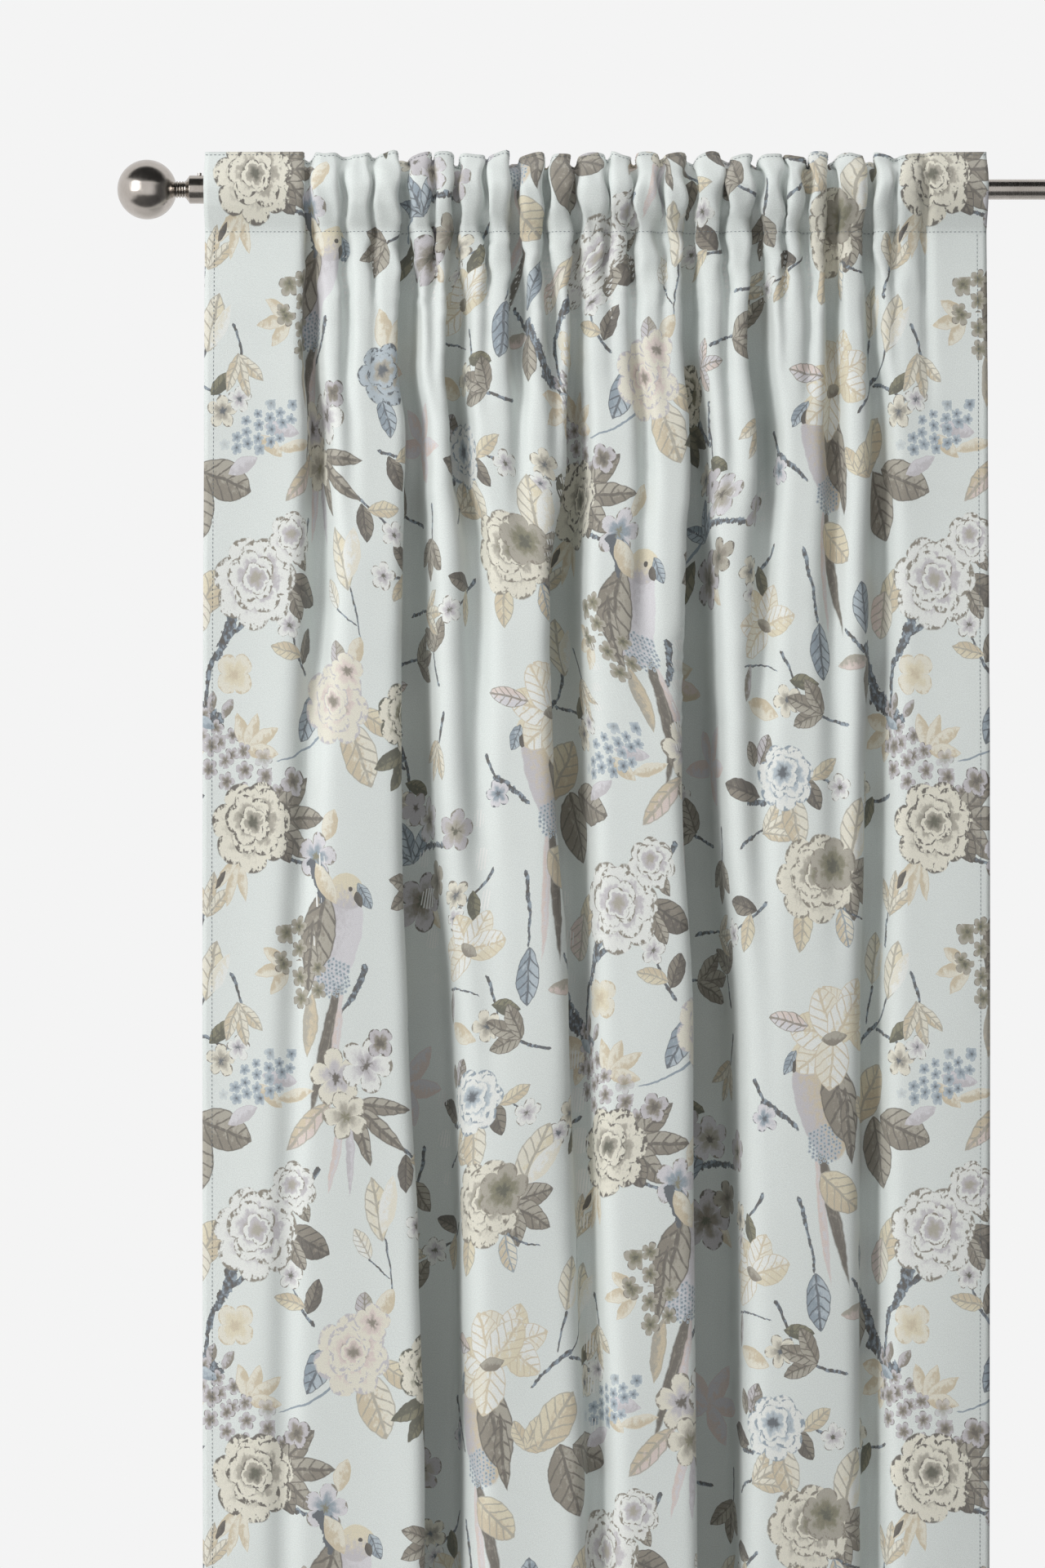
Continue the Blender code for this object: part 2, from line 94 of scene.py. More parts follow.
# One valley between folds a line: where it lies from the left edge and how deep it is, at each level
VALLEYS = [
    (
        (115, 115, 115, 117, 113, 105, 92, 83, 81, 84, 90),
        (0.8, 0.8, 0.9, 0.8, 0.6, 0.35, 0.22, 0.2, 0.2, 0.2, 0.2),
    ),
    ((149, 149, 149, 149, 149, 149, 149, 149, 149, 149, 149), (0.6, 0.6, 0.35, 0.1, 0, 0, 0, 0, 0, 0, 0)),
    ((177, 177, 179, 181, 183, 186, 190, 193, 196, 196, 196), (0.5, 0.5, 0.1, 0, 0, 0, 0, 0, 0, 0, 0)),
    (
        (209, 209, 211, 213, 216, 222, 231, 240, 248, 252, 255),
        (1.0, 1.0, 1.0, 0.9, 1.0, 1.1, 1.4, 1.6, 1.7, 1.7, 1.7),
    ),
    ((234, 234, 236, 240, 244, 246, 250, 254, 258, 260, 262), (0.6, 0.6, 0.15, 0, 0, 0, 0, 0, 0, 0, 0)),
    (
        (256, 256, 256, 256, 264, 268, 276, 284, 290, 292, 294),
        (0.9, 0.9, 1.0, 0.9, 0.5, 0.3, 0.1, 0, 0, 0, 0),
    ),
    ((284, 284, 286, 288, 290, 292, 292, 292, 292, 292, 292), (0.7, 0.7, 0.15, 0, 0, 0, 0, 0, 0, 0, 0)),
    ((313, 313, 314, 314, 314, 314, 314, 314, 314, 314, 314), (1.0, 1.0, 0.9, 0.25, 0, 0, 0, 0, 0, 0, 0)),
    ((343, 343, 346, 350, 352, 352, 352, 352, 352, 352, 352), (0.9, 0.9, 0.7, 0.2, 0, 0, 0, 0, 0, 0, 0)),
    (
        (371, 371, 370, 362, 361, 364, 368, 378, 388, 392, 396),
        (0.9, 0.9, 0.8, 0.9, 1.2, 1.1, 0.9, 0.8, 0.8, 0.8, 0.8),
    ),
    ((401, 401, 404, 406, 406, 406, 406, 406, 406, 406, 406), (0.6, 0.6, 0.1, 0, 0, 0, 0, 0, 0, 0, 0)),
    ((425, 425, 424, 430, 438, 440, 440, 440, 440, 440, 440), (0.8, 0.8, 0.35, 0.3, 0.2, 0, 0, 0, 0, 0, 0)),
    ((453, 453, 456, 458, 460, 460, 460, 460, 460, 460, 460), (0.7, 0.7, 0.1, 0, 0, 0, 0, 0, 0, 0, 0)),
    (
        (481, 481, 482, 488, 493, 500, 508, 507, 506, 508, 510),
        (1.0, 1.0, 0.9, 0.9, 1.1, 1.5, 1.7, 1.7, 1.7, 1.7, 1.7),
    ),
    ((514, 514, 516, 520, 524, 524, 524, 524, 524, 524, 524), (0.8, 0.8, 0.3, 0.15, 0, 0, 0, 0, 0, 0, 0)),
    (
        (547, 547, 548, 552, 546, 544, 544, 544, 544, 544, 544),
        (1.0, 1.0, 1.0, 0.9, 0.45, 0.25, 0.1, 0, 0, 0, 0),
    ),
    ((571, 571, 572, 572, 572, 572, 572, 572, 572, 572, 572), (0.6, 0.6, 0.1, 0, 0, 0, 0, 0, 0, 0, 0)),
    ((592, 592, 594, 594, 594, 594, 594, 594, 594, 594, 594), (0.8, 0.8, 0.25, 0, 0, 0, 0, 0, 0, 0, 0)),
    ((617, 617, 616, 610, 614, 620, 620, 620, 620, 620, 620), (0.9, 0.9, 0.8, 0.5, 0.35, 0.2, 0, 0, 0, 0, 0)),
    (
        (654, 654, 654, 654, 654, 650, 649, 650, 650, 652, 654),
        (1.0, 1.0, 0.7, 0.6, 0.6, 0.75, 0.8, 0.8, 0.8, 0.8, 0.8),
    ),
    ((676, 676, 676, 676, 676, 676, 676, 676, 676, 676, 676), (0.5, 0.5, 0.1, 0, 0, 0, 0, 0, 0, 0, 0)),
    ((706, 706, 708, 710, 710, 710, 710, 710, 710, 710, 710), (0.4, 0.4, 0.15, 0, 0, 0, 0, 0, 0, 0, 0)),
]
DEEPEST = 1.7
FINE = 0.0005  # step along the cloth when a row is laid out


def at_level(values, depth):
    """A valley's value at a depth, eased between the levels."""
    values = np.asarray(values, float)
    k = int(np.clip(np.searchsorted(LEVELS, depth, side="right") - 1, 0, len(LEVELS) - 2))
    share = smooth((depth - LEVELS[k]) / (LEVELS[k + 1] - LEVELS[k]))
    return float(values[k] + (values[k + 1] - values[k]) * share)


def valley_walls(depth, share):
    """(left edge, wall back, floor, wall forward) of each valley, as (length, angle) runs of cloth."""
    walls = []
    tight = 1 - smooth((depth - 0.05) / 0.10)
    for places, depths in VALLEYS:
        strength = at_level(depths, depth)
        deep = 0.042 * strength * share
        sharp = smooth((strength - 0.3) / (DEEPEST - 0.3))
        back_angle = math.radians(68 + 62 * sharp + 12 * tight * (1 - sharp))
        forward_angle = math.radians(60 + 18 * sharp + 16 * tight)
        back = deep / math.sin(back_angle)
        forward = deep / math.sin(forward_angle)
        width = (0.006 + 0.026 * sharp) * (1 - 0.55 * tight)
        middle = at_level(places, depth) / 1000
        run = width - back * math.cos(back_angle) - forward * math.cos(forward_angle)
        floor = max(0.002, run + forward * math.cos(forward_angle) * 0.6)
        walls.append((middle - width / 2, (back, back_angle), (floor, 0.0), (forward, -forward_angle)))
    return walls


def hidden_length(walls):
    return sum(sum(length * (1 - math.cos(angle)) for length, angle in runs) for _, *runs in walls)


def lay_row(depth):
    """(x from the left edge, y from the fold fronts) at every FINE step of cloth across one row."""
    low, high = 0.05, 4.0
    for _ in range(24):
        share = (low + high) / 2
        if hidden_length(valley_walls(depth, share)) < FLAT_WIDTH - HUNG_WIDTH:
            low = share
        else:
            high = share
    along = np.arange(0.0, FLAT_WIDTH + FINE / 2, FINE)
    angle = np.zeros_like(along)
    hidden = 0.0
    for left, *runs in valley_walls(depth, share):
        start = left + hidden
        for length, lean in runs:
            angle[(along >= start) & (along < start + length)] = lean
            start += length
            hidden += length * (1 - math.cos(lean))
    angle += 0.07 * np.sin(math.tau * along / 0.21 + 3.0 * depth) * smooth(depth / 0.3)
    window = int(round((0.007 + 0.015 * smooth((depth - 0.08) / 0.5)) / FINE))
    kernel = np.hanning(2 * window + 1)
    padded = np.pad(angle, window, mode="edge")
    angle = np.convolve(padded, kernel / kernel.sum(), mode="valid")
    x = np.concatenate([[0.0], np.cumsum(np.cos(angle[:-1]) * FINE)])
    y = np.concatenate([[0.0], np.cumsum(np.sin(angle[:-1]) * FINE)])
    x *= HUNG_WIDTH / x[-1]
    y -= y[-1] * along / FLAT_WIDTH
    return x, y - np.percentile(y, 8)


def pocket_reach(drop):
    """How far the front of the pocket stands off the seam line at a height, drawn taut round the pole."""
    height = TOP_Z - drop
    radius = POLE_RADIUS + POLE_CLEARANCE
    upper, lower = TOP_Z - TOP_ROW, TOP_Z - LOWER_ROW
    if not lower < height < upper:
        return 0.0
    seam = upper if height > 0 else -lower
    touch = radius * radius / seam
    if abs(height) < touch:
        return math.sqrt(radius * radius - height * height)
    return math.sqrt(radius * radius - touch * touch) * (seam - abs(height)) / (seam - touch)


def noise_bumps(count, seed):
    """A smooth closed run of numbers from -1 to 1, the same every time."""
    random = np.random.default_rng(seed)
    phases = random.uniform(0, math.tau, count)
    turns = random.uniform(0.6, 1.4, count)

    def value(u, v):
        total = 0.0
        for k in range(count):
            total = total + np.sin(phases[k] + turns[k] * (u * (38 + 23 * k) + v * (31 - 17 * k)))
        return total / count

    return value


SWAY = noise_bumps(5, SEED)
PUCKER = noise_bumps(6, SEED + 1)


class Hanging:
    """A sheet as it hangs: points[row][column] for u across from its left edge and v down from its top."""

    def __init__(self, across, down, points):
        self.across, self.down, self.points = across, down, points
        normal = np.cross(np.gradient(points, axis=0), np.gradient(points, axis=1))
        self.normals = normal / np.maximum(np.linalg.norm(normal, axis=-1, keepdims=True), EPS)

    def at(self, u, v, stand_off=0.0):
        """The place of points (u, v) of the sheet, moved forward of it by stand_off."""
        u, v = np.broadcast_arrays(np.asarray(u, float), np.asarray(v, float))
        col = np.clip(np.interp(u, self.across, np.arange(len(self.across))), 0, len(self.across) - 1 - EPS)
        row = np.clip(np.interp(v, self.down, np.arange(len(self.down))), 0, len(self.down) - 1 - EPS)
        c, r = col.astype(int), row.astype(int)
        fc, fr = (col - c)[..., None], (row - r)[..., None]

        def between(grid):
            top = grid[r, c] * (1 - fc) + grid[r, c + 1] * fc
            low = grid[r + 1, c] * (1 - fc) + grid[r + 1, c + 1] * fc
            return top * (1 - fr) + low * fr

        return between(self.points) + stand_off * between(self.normals)


def hang(across, down):
    """The printed cloth in front of the pole and the tape behind it, gathered together."""
    along = np.arange(0.0, FLAT_WIDTH + FINE / 2, FINE)
    gathered = smooth((across - 0.10) / 0.05) * smooth((FLAT_WIDTH - 0.06 - across) / 0.05)
    cloth, tape = [], []
    for v in down:
        x_fold, y_fold = lay_row(v)
        x, y = np.interp(across, along, x_fold), np.interp(across, along, y_fold)
        depth = np.percentile(y_fold, 96)
        valley = np.clip(y / max(depth, EPS), 0, 1)
        heading = 1 - smooth((v - LOWER_ROW) / 0.12)
        y = y - heading * np.maximum(y - depth, 0)
        puff = math.sin(math.pi * np.clip((v - TOP_ROW) / (LOWER_ROW - TOP_ROW), 0, 1))
        x = x + 0.0058 * gathered * heading * SWAY(across, v * 3.5)
        dip = 0.0115 * (0.8 + 0.6 * SWAY(across * 2.0, 0.4)) * valley
        z = TOP_Z - v - gathered * (1 - smooth(v / (TOP_Z - POLE_RADIUS - POLE_CLEARANCE))) * (
            dip + 0.0045 * (PUCKER(across * 1.6, v * 0.3) + 0.3)
        )
        reach = pocket_reach(v)
        apart = smooth(reach / 0.010)
        middle = -0.5 * depth
        settled = smooth((v - LOWER_ROW) / 0.30)
        front = middle - (1 - settled) * (reach + 0.5 * depth * apart)
        front = front + y - 0.009 * heading * gathered * (1 - valley) * puff
        front = front + 0.0028 * gathered * heading * (PUCKER(across * 2.2, v * 3.0) - 1)
        cloth.append(np.stack([LEFT_EDGE + np.clip(x, 0, HUNG_WIDTH), front, z], axis=-1))
        behind = middle + reach + 0.5 * depth * apart + y + np.maximum(-y, 0) * apart
        behind = np.maximum(behind, front) + TAPE_BEHIND
        tape.append(np.stack([LEFT_EDGE + np.clip(x, 0, HUNG_WIDTH), behind, z], axis=-1))
    cloth = Hanging(across, down, np.array(cloth))
    above = down <= LOWER_ROW + TAPE_PAST_ROW
    return cloth, Hanging(across, down[above], np.array(tape)[above])


def spaced(stops):
    """Numbers from the first stop to the last: (start, step) pairs and an end."""
    parts = []
    for (start, step), (end, _) in zip(stops, stops[1:]):
        parts.append(np.linspace(start, end, max(1, round((end - start) / step)), endpoint=False))
    return np.concatenate(parts + [[stops[-1][0]]])


# The cloth's columns and rows fall on the lines between the print's patches
ACROSS = spaced(
    [(0, 0.0055)] + [(k * PATCH, 0.0037) for k in range(1, 8)] + [(8 * PATCH, 0.0055), (FLAT_WIDTH, 0)]
)
DOWN = spaced(
    [(0, 0.0033), (0.10, 0.006), (PATCH, 0.009), (2 * PATCH, 0.012), (3 * PATCH, 0.02), (REPEAT, PATCH / 4)]
    + [(FLAT_LENGTH, 0)]
)


# ---------------------------------------------------------------- mesh helpers


def link(name, mesh):
    piece = bpy.data.objects.new(name, mesh)
    bpy.context.scene.collection.objects.link(piece)
    return piece


def strip_mesh(name, front, back, maps, front_slot=0, back_slot=1, edge_slot=0):
    """A closed thin sheet from two grids of points, [row][column]. maps gives named UV grids."""
    rows, cols = front.shape[:2]
    count = rows * cols
    index = np.arange(count).reshape(rows, cols)
    quads = np.stack([index[:-1, :-1], index[1:, :-1], index[1:, 1:], index[:-1, 1:]], axis=-1).reshape(-1, 4)
    rim_loop = np.concatenate([index[0, :-1], index[:-1, -1], index[-1, :0:-1], index[:0:-1, 0]])
    following = np.roll(rim_loop, -1)
    rim = np.stack([rim_loop, following, following + count, rim_loop + count], axis=-1)
    faces = np.concatenate([quads, quads[:, ::-1] + count, rim])
    slots = np.concatenate([
        np.broadcast_to(front_slot, len(quads)), np.full(len(quads), back_slot), np.full(len(rim), edge_slot)
    ])
    mesh = bpy.data.meshes.new(name)
    points = np.concatenate([front.reshape(-1, 3), back.reshape(-1, 3)])
    mesh.from_pydata(points.tolist(), [], faces.tolist())
    mesh.polygons.foreach_set("material_index", slots.astype(np.int32))
    corners = np.zeros(len(mesh.loops), np.int32)
    mesh.loops.foreach_get("vertex_index", corners)
    for map_name, grid in maps.items():
        flat = np.concatenate([grid.reshape(-1, 2), grid.reshape(-1, 2)])
        layer = mesh.uv_layers.new(name=map_name)
        layer.data.foreach_set("uv", flat[corners].astype(np.float32).ravel())
    mesh.shade_smooth()
    return mesh


def turned_mesh(name, profile, is_ring, steps=96):
    """Turns (x, radius) points about the X axis."""
    bm = bmesh.new()
    points = [bm.verts.new((x, 0.0, radius)) for x, radius in profile]
    following = points[1:] + points[:1] if is_ring else points[1:]
    edges = [bm.edges.new(pair) for pair in zip(points, following)]
    bmesh.ops.spin(
        bm, geom=points + edges, angle=math.tau, steps=steps, axis=(1, 0, 0), cent=(0, 0, 0), use_merge=True
    )
    bmesh.ops.remove_doubles(bm, verts=bm.verts, dist=1e-7)
    bmesh.ops.recalc_face_normals(bm, faces=bm.faces)
    mesh = bpy.data.meshes.new(name)
    bm.to_mesh(mesh)
    bm.free()
    mesh.shade_smooth()
    mesh.set_sharp_from_angle(angle=math.radians(28))
    return mesh


# ---------------------------------------------------------------- finishes


def tint(red, green, blue):
    """A colour given in 0 to 255 display values, as the shaders take it."""
    shades = (red, green, blue)
    return tuple(((c / 255 + 0.055) / 1.055) ** 2.4 if c > 10 else c / 255 / 12.92 for c in shades) + (1,)


class Value:
    """A number that changes over a surface. Arithmetic on it adds Math nodes to its finish."""

    def __init__(self, finish, socket):
        self.finish, self.socket = finish, socket

    def _math(self, operation, *values):
        node = self.finish.node("ShaderNodeMath", {"operation": operation}, dict(enumerate(values)))
        return Value(self.finish, node.outputs[0])

    def __add__(self, other):
        return self._math("ADD", self, other)

    __radd__ = __add__

    def __sub__(self, other):
        return self._math("SUBTRACT", self, other)

    def __rsub__(self, other):
        return self._math("SUBTRACT", other, self)

    def __mul__(self, other):
        return self._math("MULTIPLY", self, other)

    __rmul__ = __mul__

    def __truediv__(self, other):
        return self._math("DIVIDE", self, other)

    def __rtruediv__(self, other):
        return self._math("DIVIDE", other, self)

    def __pow__(self, other):
        return self._math("POWER", self, other)

    def __abs__(self):
        return self._math("ABSOLUTE", self)

    def wrapped(self, half):
        return self._math("WRAP", self, half, -half)

    def sine(self):
        return self._math("SINE", self)

    def root(self):
        return self._math("SQRT", self)

    def floor(self):
        return self._math("FLOOR", self)

    def times_plus(self, factor, extra):
        return self._math("MULTIPLY_ADD", self, factor, extra)

    def angle_to(self, along):
        return self._math("ARCTAN2", self, along)

    def most(self, other):
        return self._math("MAXIMUM", self, other)

    def fade(self, start, end, low=0.0, high=1.0):
        """low at start, easing to high at end, and held beyond them."""
        settings = {"interpolation_type": "SMOOTHSTEP", "clamp": False}
        inputs = {"Value": self, "From Min": start, "From Max": end, "To Min": low, "To Max": high}
        return Value(self.finish, self.finish.node("ShaderNodeMapRange", settings, inputs).outputs[0])


class Bench:
    """A tree of shader nodes, built node by node."""

    def __init__(self, tree):
        self.tree = tree

    def feed(self, socket, value):
        value = getattr(value, "socket", value)
        if isinstance(value, bpy.types.NodeSocket):
            self.tree.links.new(value, socket)
        else:
            socket.default_value = value

    def node(self, kind, settings=None, inputs=None):
        """Adds a node: its settings first, then its sockets, given by name or number, as links or values."""
        node = self.tree.nodes.new(kind)
        for key, value in (settings or {}).items():
            setattr(node, key, value)
        for key, value in (inputs or {}).items():
            self.feed(node.inputs[key], value)
        return node

    def value(self, *args):
        return Value(self, self.node(*args).outputs[0])

    def object_place(self):
        return self.node("ShaderNodeTexCoord").outputs["Object"]

    def flat_place(self, name):
        return self.node("ShaderNodeUVMap", {"uv_map": name}).outputs[0]

    def parts(self, vector):
        split = self.node("ShaderNodeSeparateXYZ", None, {0: vector})
        return [Value(self, socket) for socket in split.outputs]

    def noise(self, place, scale, detail=2.0, roughness=0.5):
        inputs = {"Vector": place, "Scale": scale, "Detail": detail, "Roughness": roughness}
        return self.node("ShaderNodeTexNoise", None, inputs)

    def vector(self, operation, *values):
        node = self.node("ShaderNodeVectorMath", {"operation": operation}, dict(enumerate(values)))
        return node.outputs["Vector"]

    def blend(self, under, over, share, how="MIX"):
        """One colour over another."""
        settings = {"data_type": "RGBA", "blend_type": how}
        node = self.node("ShaderNodeMix", settings, {0: share, 6: under, 7: over})
        return node.outputs[2]

    def ramp(self, share, stops):
        """A colour for each value of share: stops are (value, colour) pairs."""
        node = self.node("ShaderNodeValToRGB", None, {0: share})
        ramp = node.color_ramp
        ramp.interpolation = "LINEAR"
        while len(ramp.elements) < len(stops):
            ramp.elements.new(0.5)
        for element, (position, colour) in zip(ramp.elements, stops):
            element.position = position
            element.color = colour
        return node.outputs[0]

    def stamp(self, tree, inputs):
        """Adds a stencil and gives the colour it paints."""
        return self.node("ShaderNodeGroup", {"node_tree": tree}, inputs).outputs["Colour"]


class Finish(Bench):
    """One material."""

    def __init__(self, name, **constants):
        self.material = bpy.data.materials.new(name)
        self.material.use_nodes = True
        super().__init__(self.material.node_tree)
        self.shader = self.tree.nodes["Principled BSDF"]
        for key, value in constants.items():
            self.feed(self.shader.inputs[key.replace("_", " ")], value)

    def bump(self, height, distance, strength=1.0):
        inputs = {"Height": height, "Distance": distance, "Strength": strength}
        self.feed(self.shader.inputs["Normal"], self.node("ShaderNodeBump", None, inputs).outputs[0])

    def colour(self, colour):
        self.feed(self.shader.inputs["Base Color"], colour)

    def put_on(self, mesh):
        mesh.materials.append(self.material)


SOCKETS = {"number": "NodeSocketFloat", "colour": "NodeSocketColor"}


def stencil(name, sockets, draw):
    """A node group that paints over the colour it is given. draw(bench, inputs) returns the new colour."""
    tree = bpy.data.node_groups.new(name, "ShaderNodeTree")
    for socket, kind in sockets.items():
        tree.interface.new_socket(name=socket, in_out="INPUT", socket_type=SOCKETS[kind])
    tree.interface.new_socket(name="Colour", in_out="OUTPUT", socket_type=SOCKETS["colour"])
    bench = Bench(tree)
    entry = bench.node("NodeGroupInput")
    inputs = {
        socket: Value(bench, entry.outputs[socket]) if kind == "number" else entry.outputs[socket]
        for socket, kind in sockets.items()
    }
    painted = draw(bench, inputs)
    bench.node("NodeGroupOutput", None, {"Colour": painted})
    return tree


# ---------------------------------------------------------------- print

GROUND = tint(229, 235, 232)
DARK_TAUPE = tint(98, 90, 80)
TAUPE = tint(138, 130, 116)
STONE = tint(176, 170, 156)
BEIGE = tint(212, 198, 170)
CREAM = tint(234, 230, 214)
WHITE = tint(238, 240, 236)
LILAC = tint(200, 196, 200)
PALE_LILAC = tint(220, 218, 222)
BLUE_GREY = tint(146, 160, 172)
PALE_BLUE = tint(186, 198, 206)
SLATE = tint(88, 94, 102)
OLIVE = tint(132, 128, 102)
DARK_OLIVE = tint(88, 86, 68)
PINK_BEIGE = tint(224, 209, 202)
BROWN = tint(78, 70, 62)
PALE_YELLOW = tint(228, 219, 192)

# Petal colours from the heart of a flower to its rim
WHITE_PETALS = (STONE, LILAC, WHITE, TAUPE)
GREEN_PETALS = (DARK_OLIVE, STONE, CREAM, DARK_TAUPE)
OLIVE_PETALS = (DARK_OLIVE, OLIVE, CREAM, DARK_OLIVE)
PINK_PETALS = (TAUPE, PINK_BEIGE, CREAM, LILAC)
BLUE_PETALS = (SLATE, PALE_BLUE, WHITE, BLUE_GREY)
GREY_BLUE_PETALS = (SLATE, STONE, PALE_BLUE, SLATE)
CREAM_PETALS = (BEIGE, PALE_YELLOW, CREAM, BEIGE)
GREY_PETALS = (DARK_TAUPE, TAUPE, LILAC, DARK_TAUPE)


# What every stencil is given: the colour under it, the brush's grain, the cloth seen from the nearest repeat's
# middle, and how far along and off the motif's own line each metre across and down goes
SPOT = {
    "Under": "colour", "Brush": "number", "Across": "number", "Down": "number",
    "Along by across": "number", "Along by down": "number", "Along start": "number",
    "Off by across": "number", "Off by down": "number", "Off start": "number",
}


def stencil_spot(inputs, across=None, down=None):
    """The cloth seen from a motif, along it and off its line: 0 at its middle, 1 at its reach."""
    across, down = across or inputs["Across"], down or inputs["Down"]
    along = across.times_plus(inputs["Along by across"], inputs["Along start"])
    off = across.times_plus(inputs["Off by across"], inputs["Off start"])
    return down.times_plus(inputs["Along by down"], along), down.times_plus(inputs["Off by down"], off)


def distance(along, off):
    return along.times_plus(along, off * off).root()


def draw_leaf(bench, inputs):
    """A pointed leaf or slim petal where two circles overlap, lighter on one side of its rib."""
    along, off = stencil_spot(inputs)
    half, centre = inputs["Half width"], inputs["Arc centre"]
    inside = centre + half - distance(along, abs(off) + centre)
    side = (off / half + (inputs["Brush"] - 0.5) * 3.0).fade(-0.5, 0.5)
    shade = bench.blend(inputs["Light"], inputs["Dark"], side.most(inside.fade(0.075, 0.03) * 0.6))
    return bench.blend(inputs["Under"], shade, inside.fade(0.0, 0.03))


def draw_veined_leaf(bench, inputs):
    """A broad leaf with a rib, slanting side veins and a dark outline."""
    along, off = stencil_spot(inputs)
    half, centre = inputs["Half width"], inputs["Arc centre"]
    away = abs(off)
    inside = centre + half - distance(along, away + centre)
    side = (off / half + (inputs["Brush"] - 0.5) * 3.0).fade(-0.4, 0.4)
    shade = bench.blend(inputs["Light"], inputs["Dark"], side)
    veins = ((along - away * 0.9) * 17.0).sine().fade(0.74, 0.96)
    lines = veins.most(away.fade(0.06, 0.03)).most(inside.fade(0.06, 0.03))
    shade = bench.blend(shade, inputs["Veins"], lines * inputs["Brush"].fade(0.25, 0.5, 0.5, 0.9))
    return bench.blend(inputs["Under"], shade, inside.fade(0.0, 0.03))


def draw_oval(bench, inputs):
    along, off = stencil_spot(inputs)
    shade = bench.blend(inputs["Light"], inputs["Dark"], (off + (inputs["Brush"] - 0.5) * 2.4).fade(-0.5, 0.8))
    return bench.blend(inputs["Under"], shade, distance(along, off).fade(1.0, 0.93))


def petal_shade(bench, inputs, share, cup):
    """Heart, inner petal, rim and outline colours by share of the way out."""
    shade = bench.blend(inputs["Heart"], inputs["Inner"], share.fade(cup * 0.4, cup + 0.15))
    shade = bench.blend(shade, inputs["Rim"], share.fade(cup + 0.15, 0.75))
    return bench.blend(shade, inputs["Outline"], share.fade(0.90, 0.98))


def draw_ring(bench, inputs):
    """One ring of rounded petals."""
    along, off = stencil_spot(inputs)
    turn = off.angle_to(along) * inputs["Petals"]
    lobes = abs(turn.sine())
    depth = inputs["Depth"]
    share = distance(along, off) / (lobes**0.45 * depth + (1 - depth))
    veins = (turn * 3.0).sine() * 0.035
    shade = petal_shade(bench, inputs, share + veins + (inputs["Brush"] - 0.5) * 0.6, inputs["Cup"])
    return bench.blend(inputs["Under"], shade, share.fade(1.0, 0.96))


def draw_bunch(bench, inputs):
    """Small five-petalled blossoms scattered over an oval, one to a cell."""
    cell = inputs["Cell"]
    columns, rows = inputs["Across"] / cell, inputs["Down"] / cell
    column = columns.floor()
    row = (rows + column * 0.5).floor() - column * 0.5
    cell_number = column * 17.3 + row * 5.1
    chance = bench.node("ShaderNodeTexWhiteNoise", {"noise_dimensions": "1D"}, {"W": cell_number})
    chance = Value(bench, chance.outputs["Value"])
    along = columns - column - 0.34 - chance * 0.32
    off = rows - row - 0.66 + chance * 0.32
    seen = distance(*stencil_spot(inputs, (column + 0.5) * cell, (row + 0.5) * cell))
    lobes = abs((off.angle_to(along).times_plus(2.5, chance * 9.0)).sine())
    share = distance(along, off) / (lobes**0.5 * 0.28 + 0.18 + chance * 0.16)
    shade = petal_shade(bench, inputs, share + (inputs["Brush"] - 0.5) * 0.5, 0.15)
    return bench.blend(inputs["Under"], shade, share.fade(1.0, 0.93) * seen.fade(1.0, 0.98))


def draw_twig(bench, inputs):
    """A tapering, slightly bent twig or branch with rough sides."""
    along, off = stencil_spot(inputs)
    thick = inputs["Thickness"]
    open_ends = 1 - along * along
    away = abs(open_ends.times_plus(inputs["Bend"], off) + (inputs["Brush"] - 0.5) * (thick * 2.2))
    half = open_ends.fade(0.0, 0.25) * thick * (1 - along * 0.3)
    return bench.blend(inputs["Under"], inputs["Bark"], (half - away).fade(0.0, 0.02))


PRINT_MARGIN = 0.012  # how far a motif's rough edge or a blossom may pass its own reach
PETALS = {"Heart": "colour", "Inner": "colour", "Rim": "colour", "Outline": "colour"}
LEAF = {"Half width": "number", "Arc centre": "number", "Light": "colour", "Dark": "colour"}
STENCILS = {
    "leaf": ({**SPOT, **LEAF}, draw_leaf),
    "veined leaf": ({**SPOT, **LEAF, "Veins": "colour"}, draw_veined_leaf),
    "oval": ({**SPOT, "Light": "colour", "Dark": "colour"}, draw_oval),
    "ring": ({**SPOT, **PETALS, "Petals": "number", "Depth": "number", "Cup": "number"}, draw_ring),
    "bunch": ({**SPOT, **PETALS, "Cell": "number"}, draw_bunch),
    "twig": ({**SPOT, "Bark": "colour", "Thickness": "number", "Bend": "number"}, draw_twig),
}
PATCHES = [(row, column) for row in range(4) for column in range(4)]
BARK = "bark"
GROWN = 1.14  # flowers and leaves are drawn this much over their written size
SPRIGS = 22
SPRIG_REACH = 0.034
SPRIG_GAP = 0.006
SPRIG_TRIES = 4000


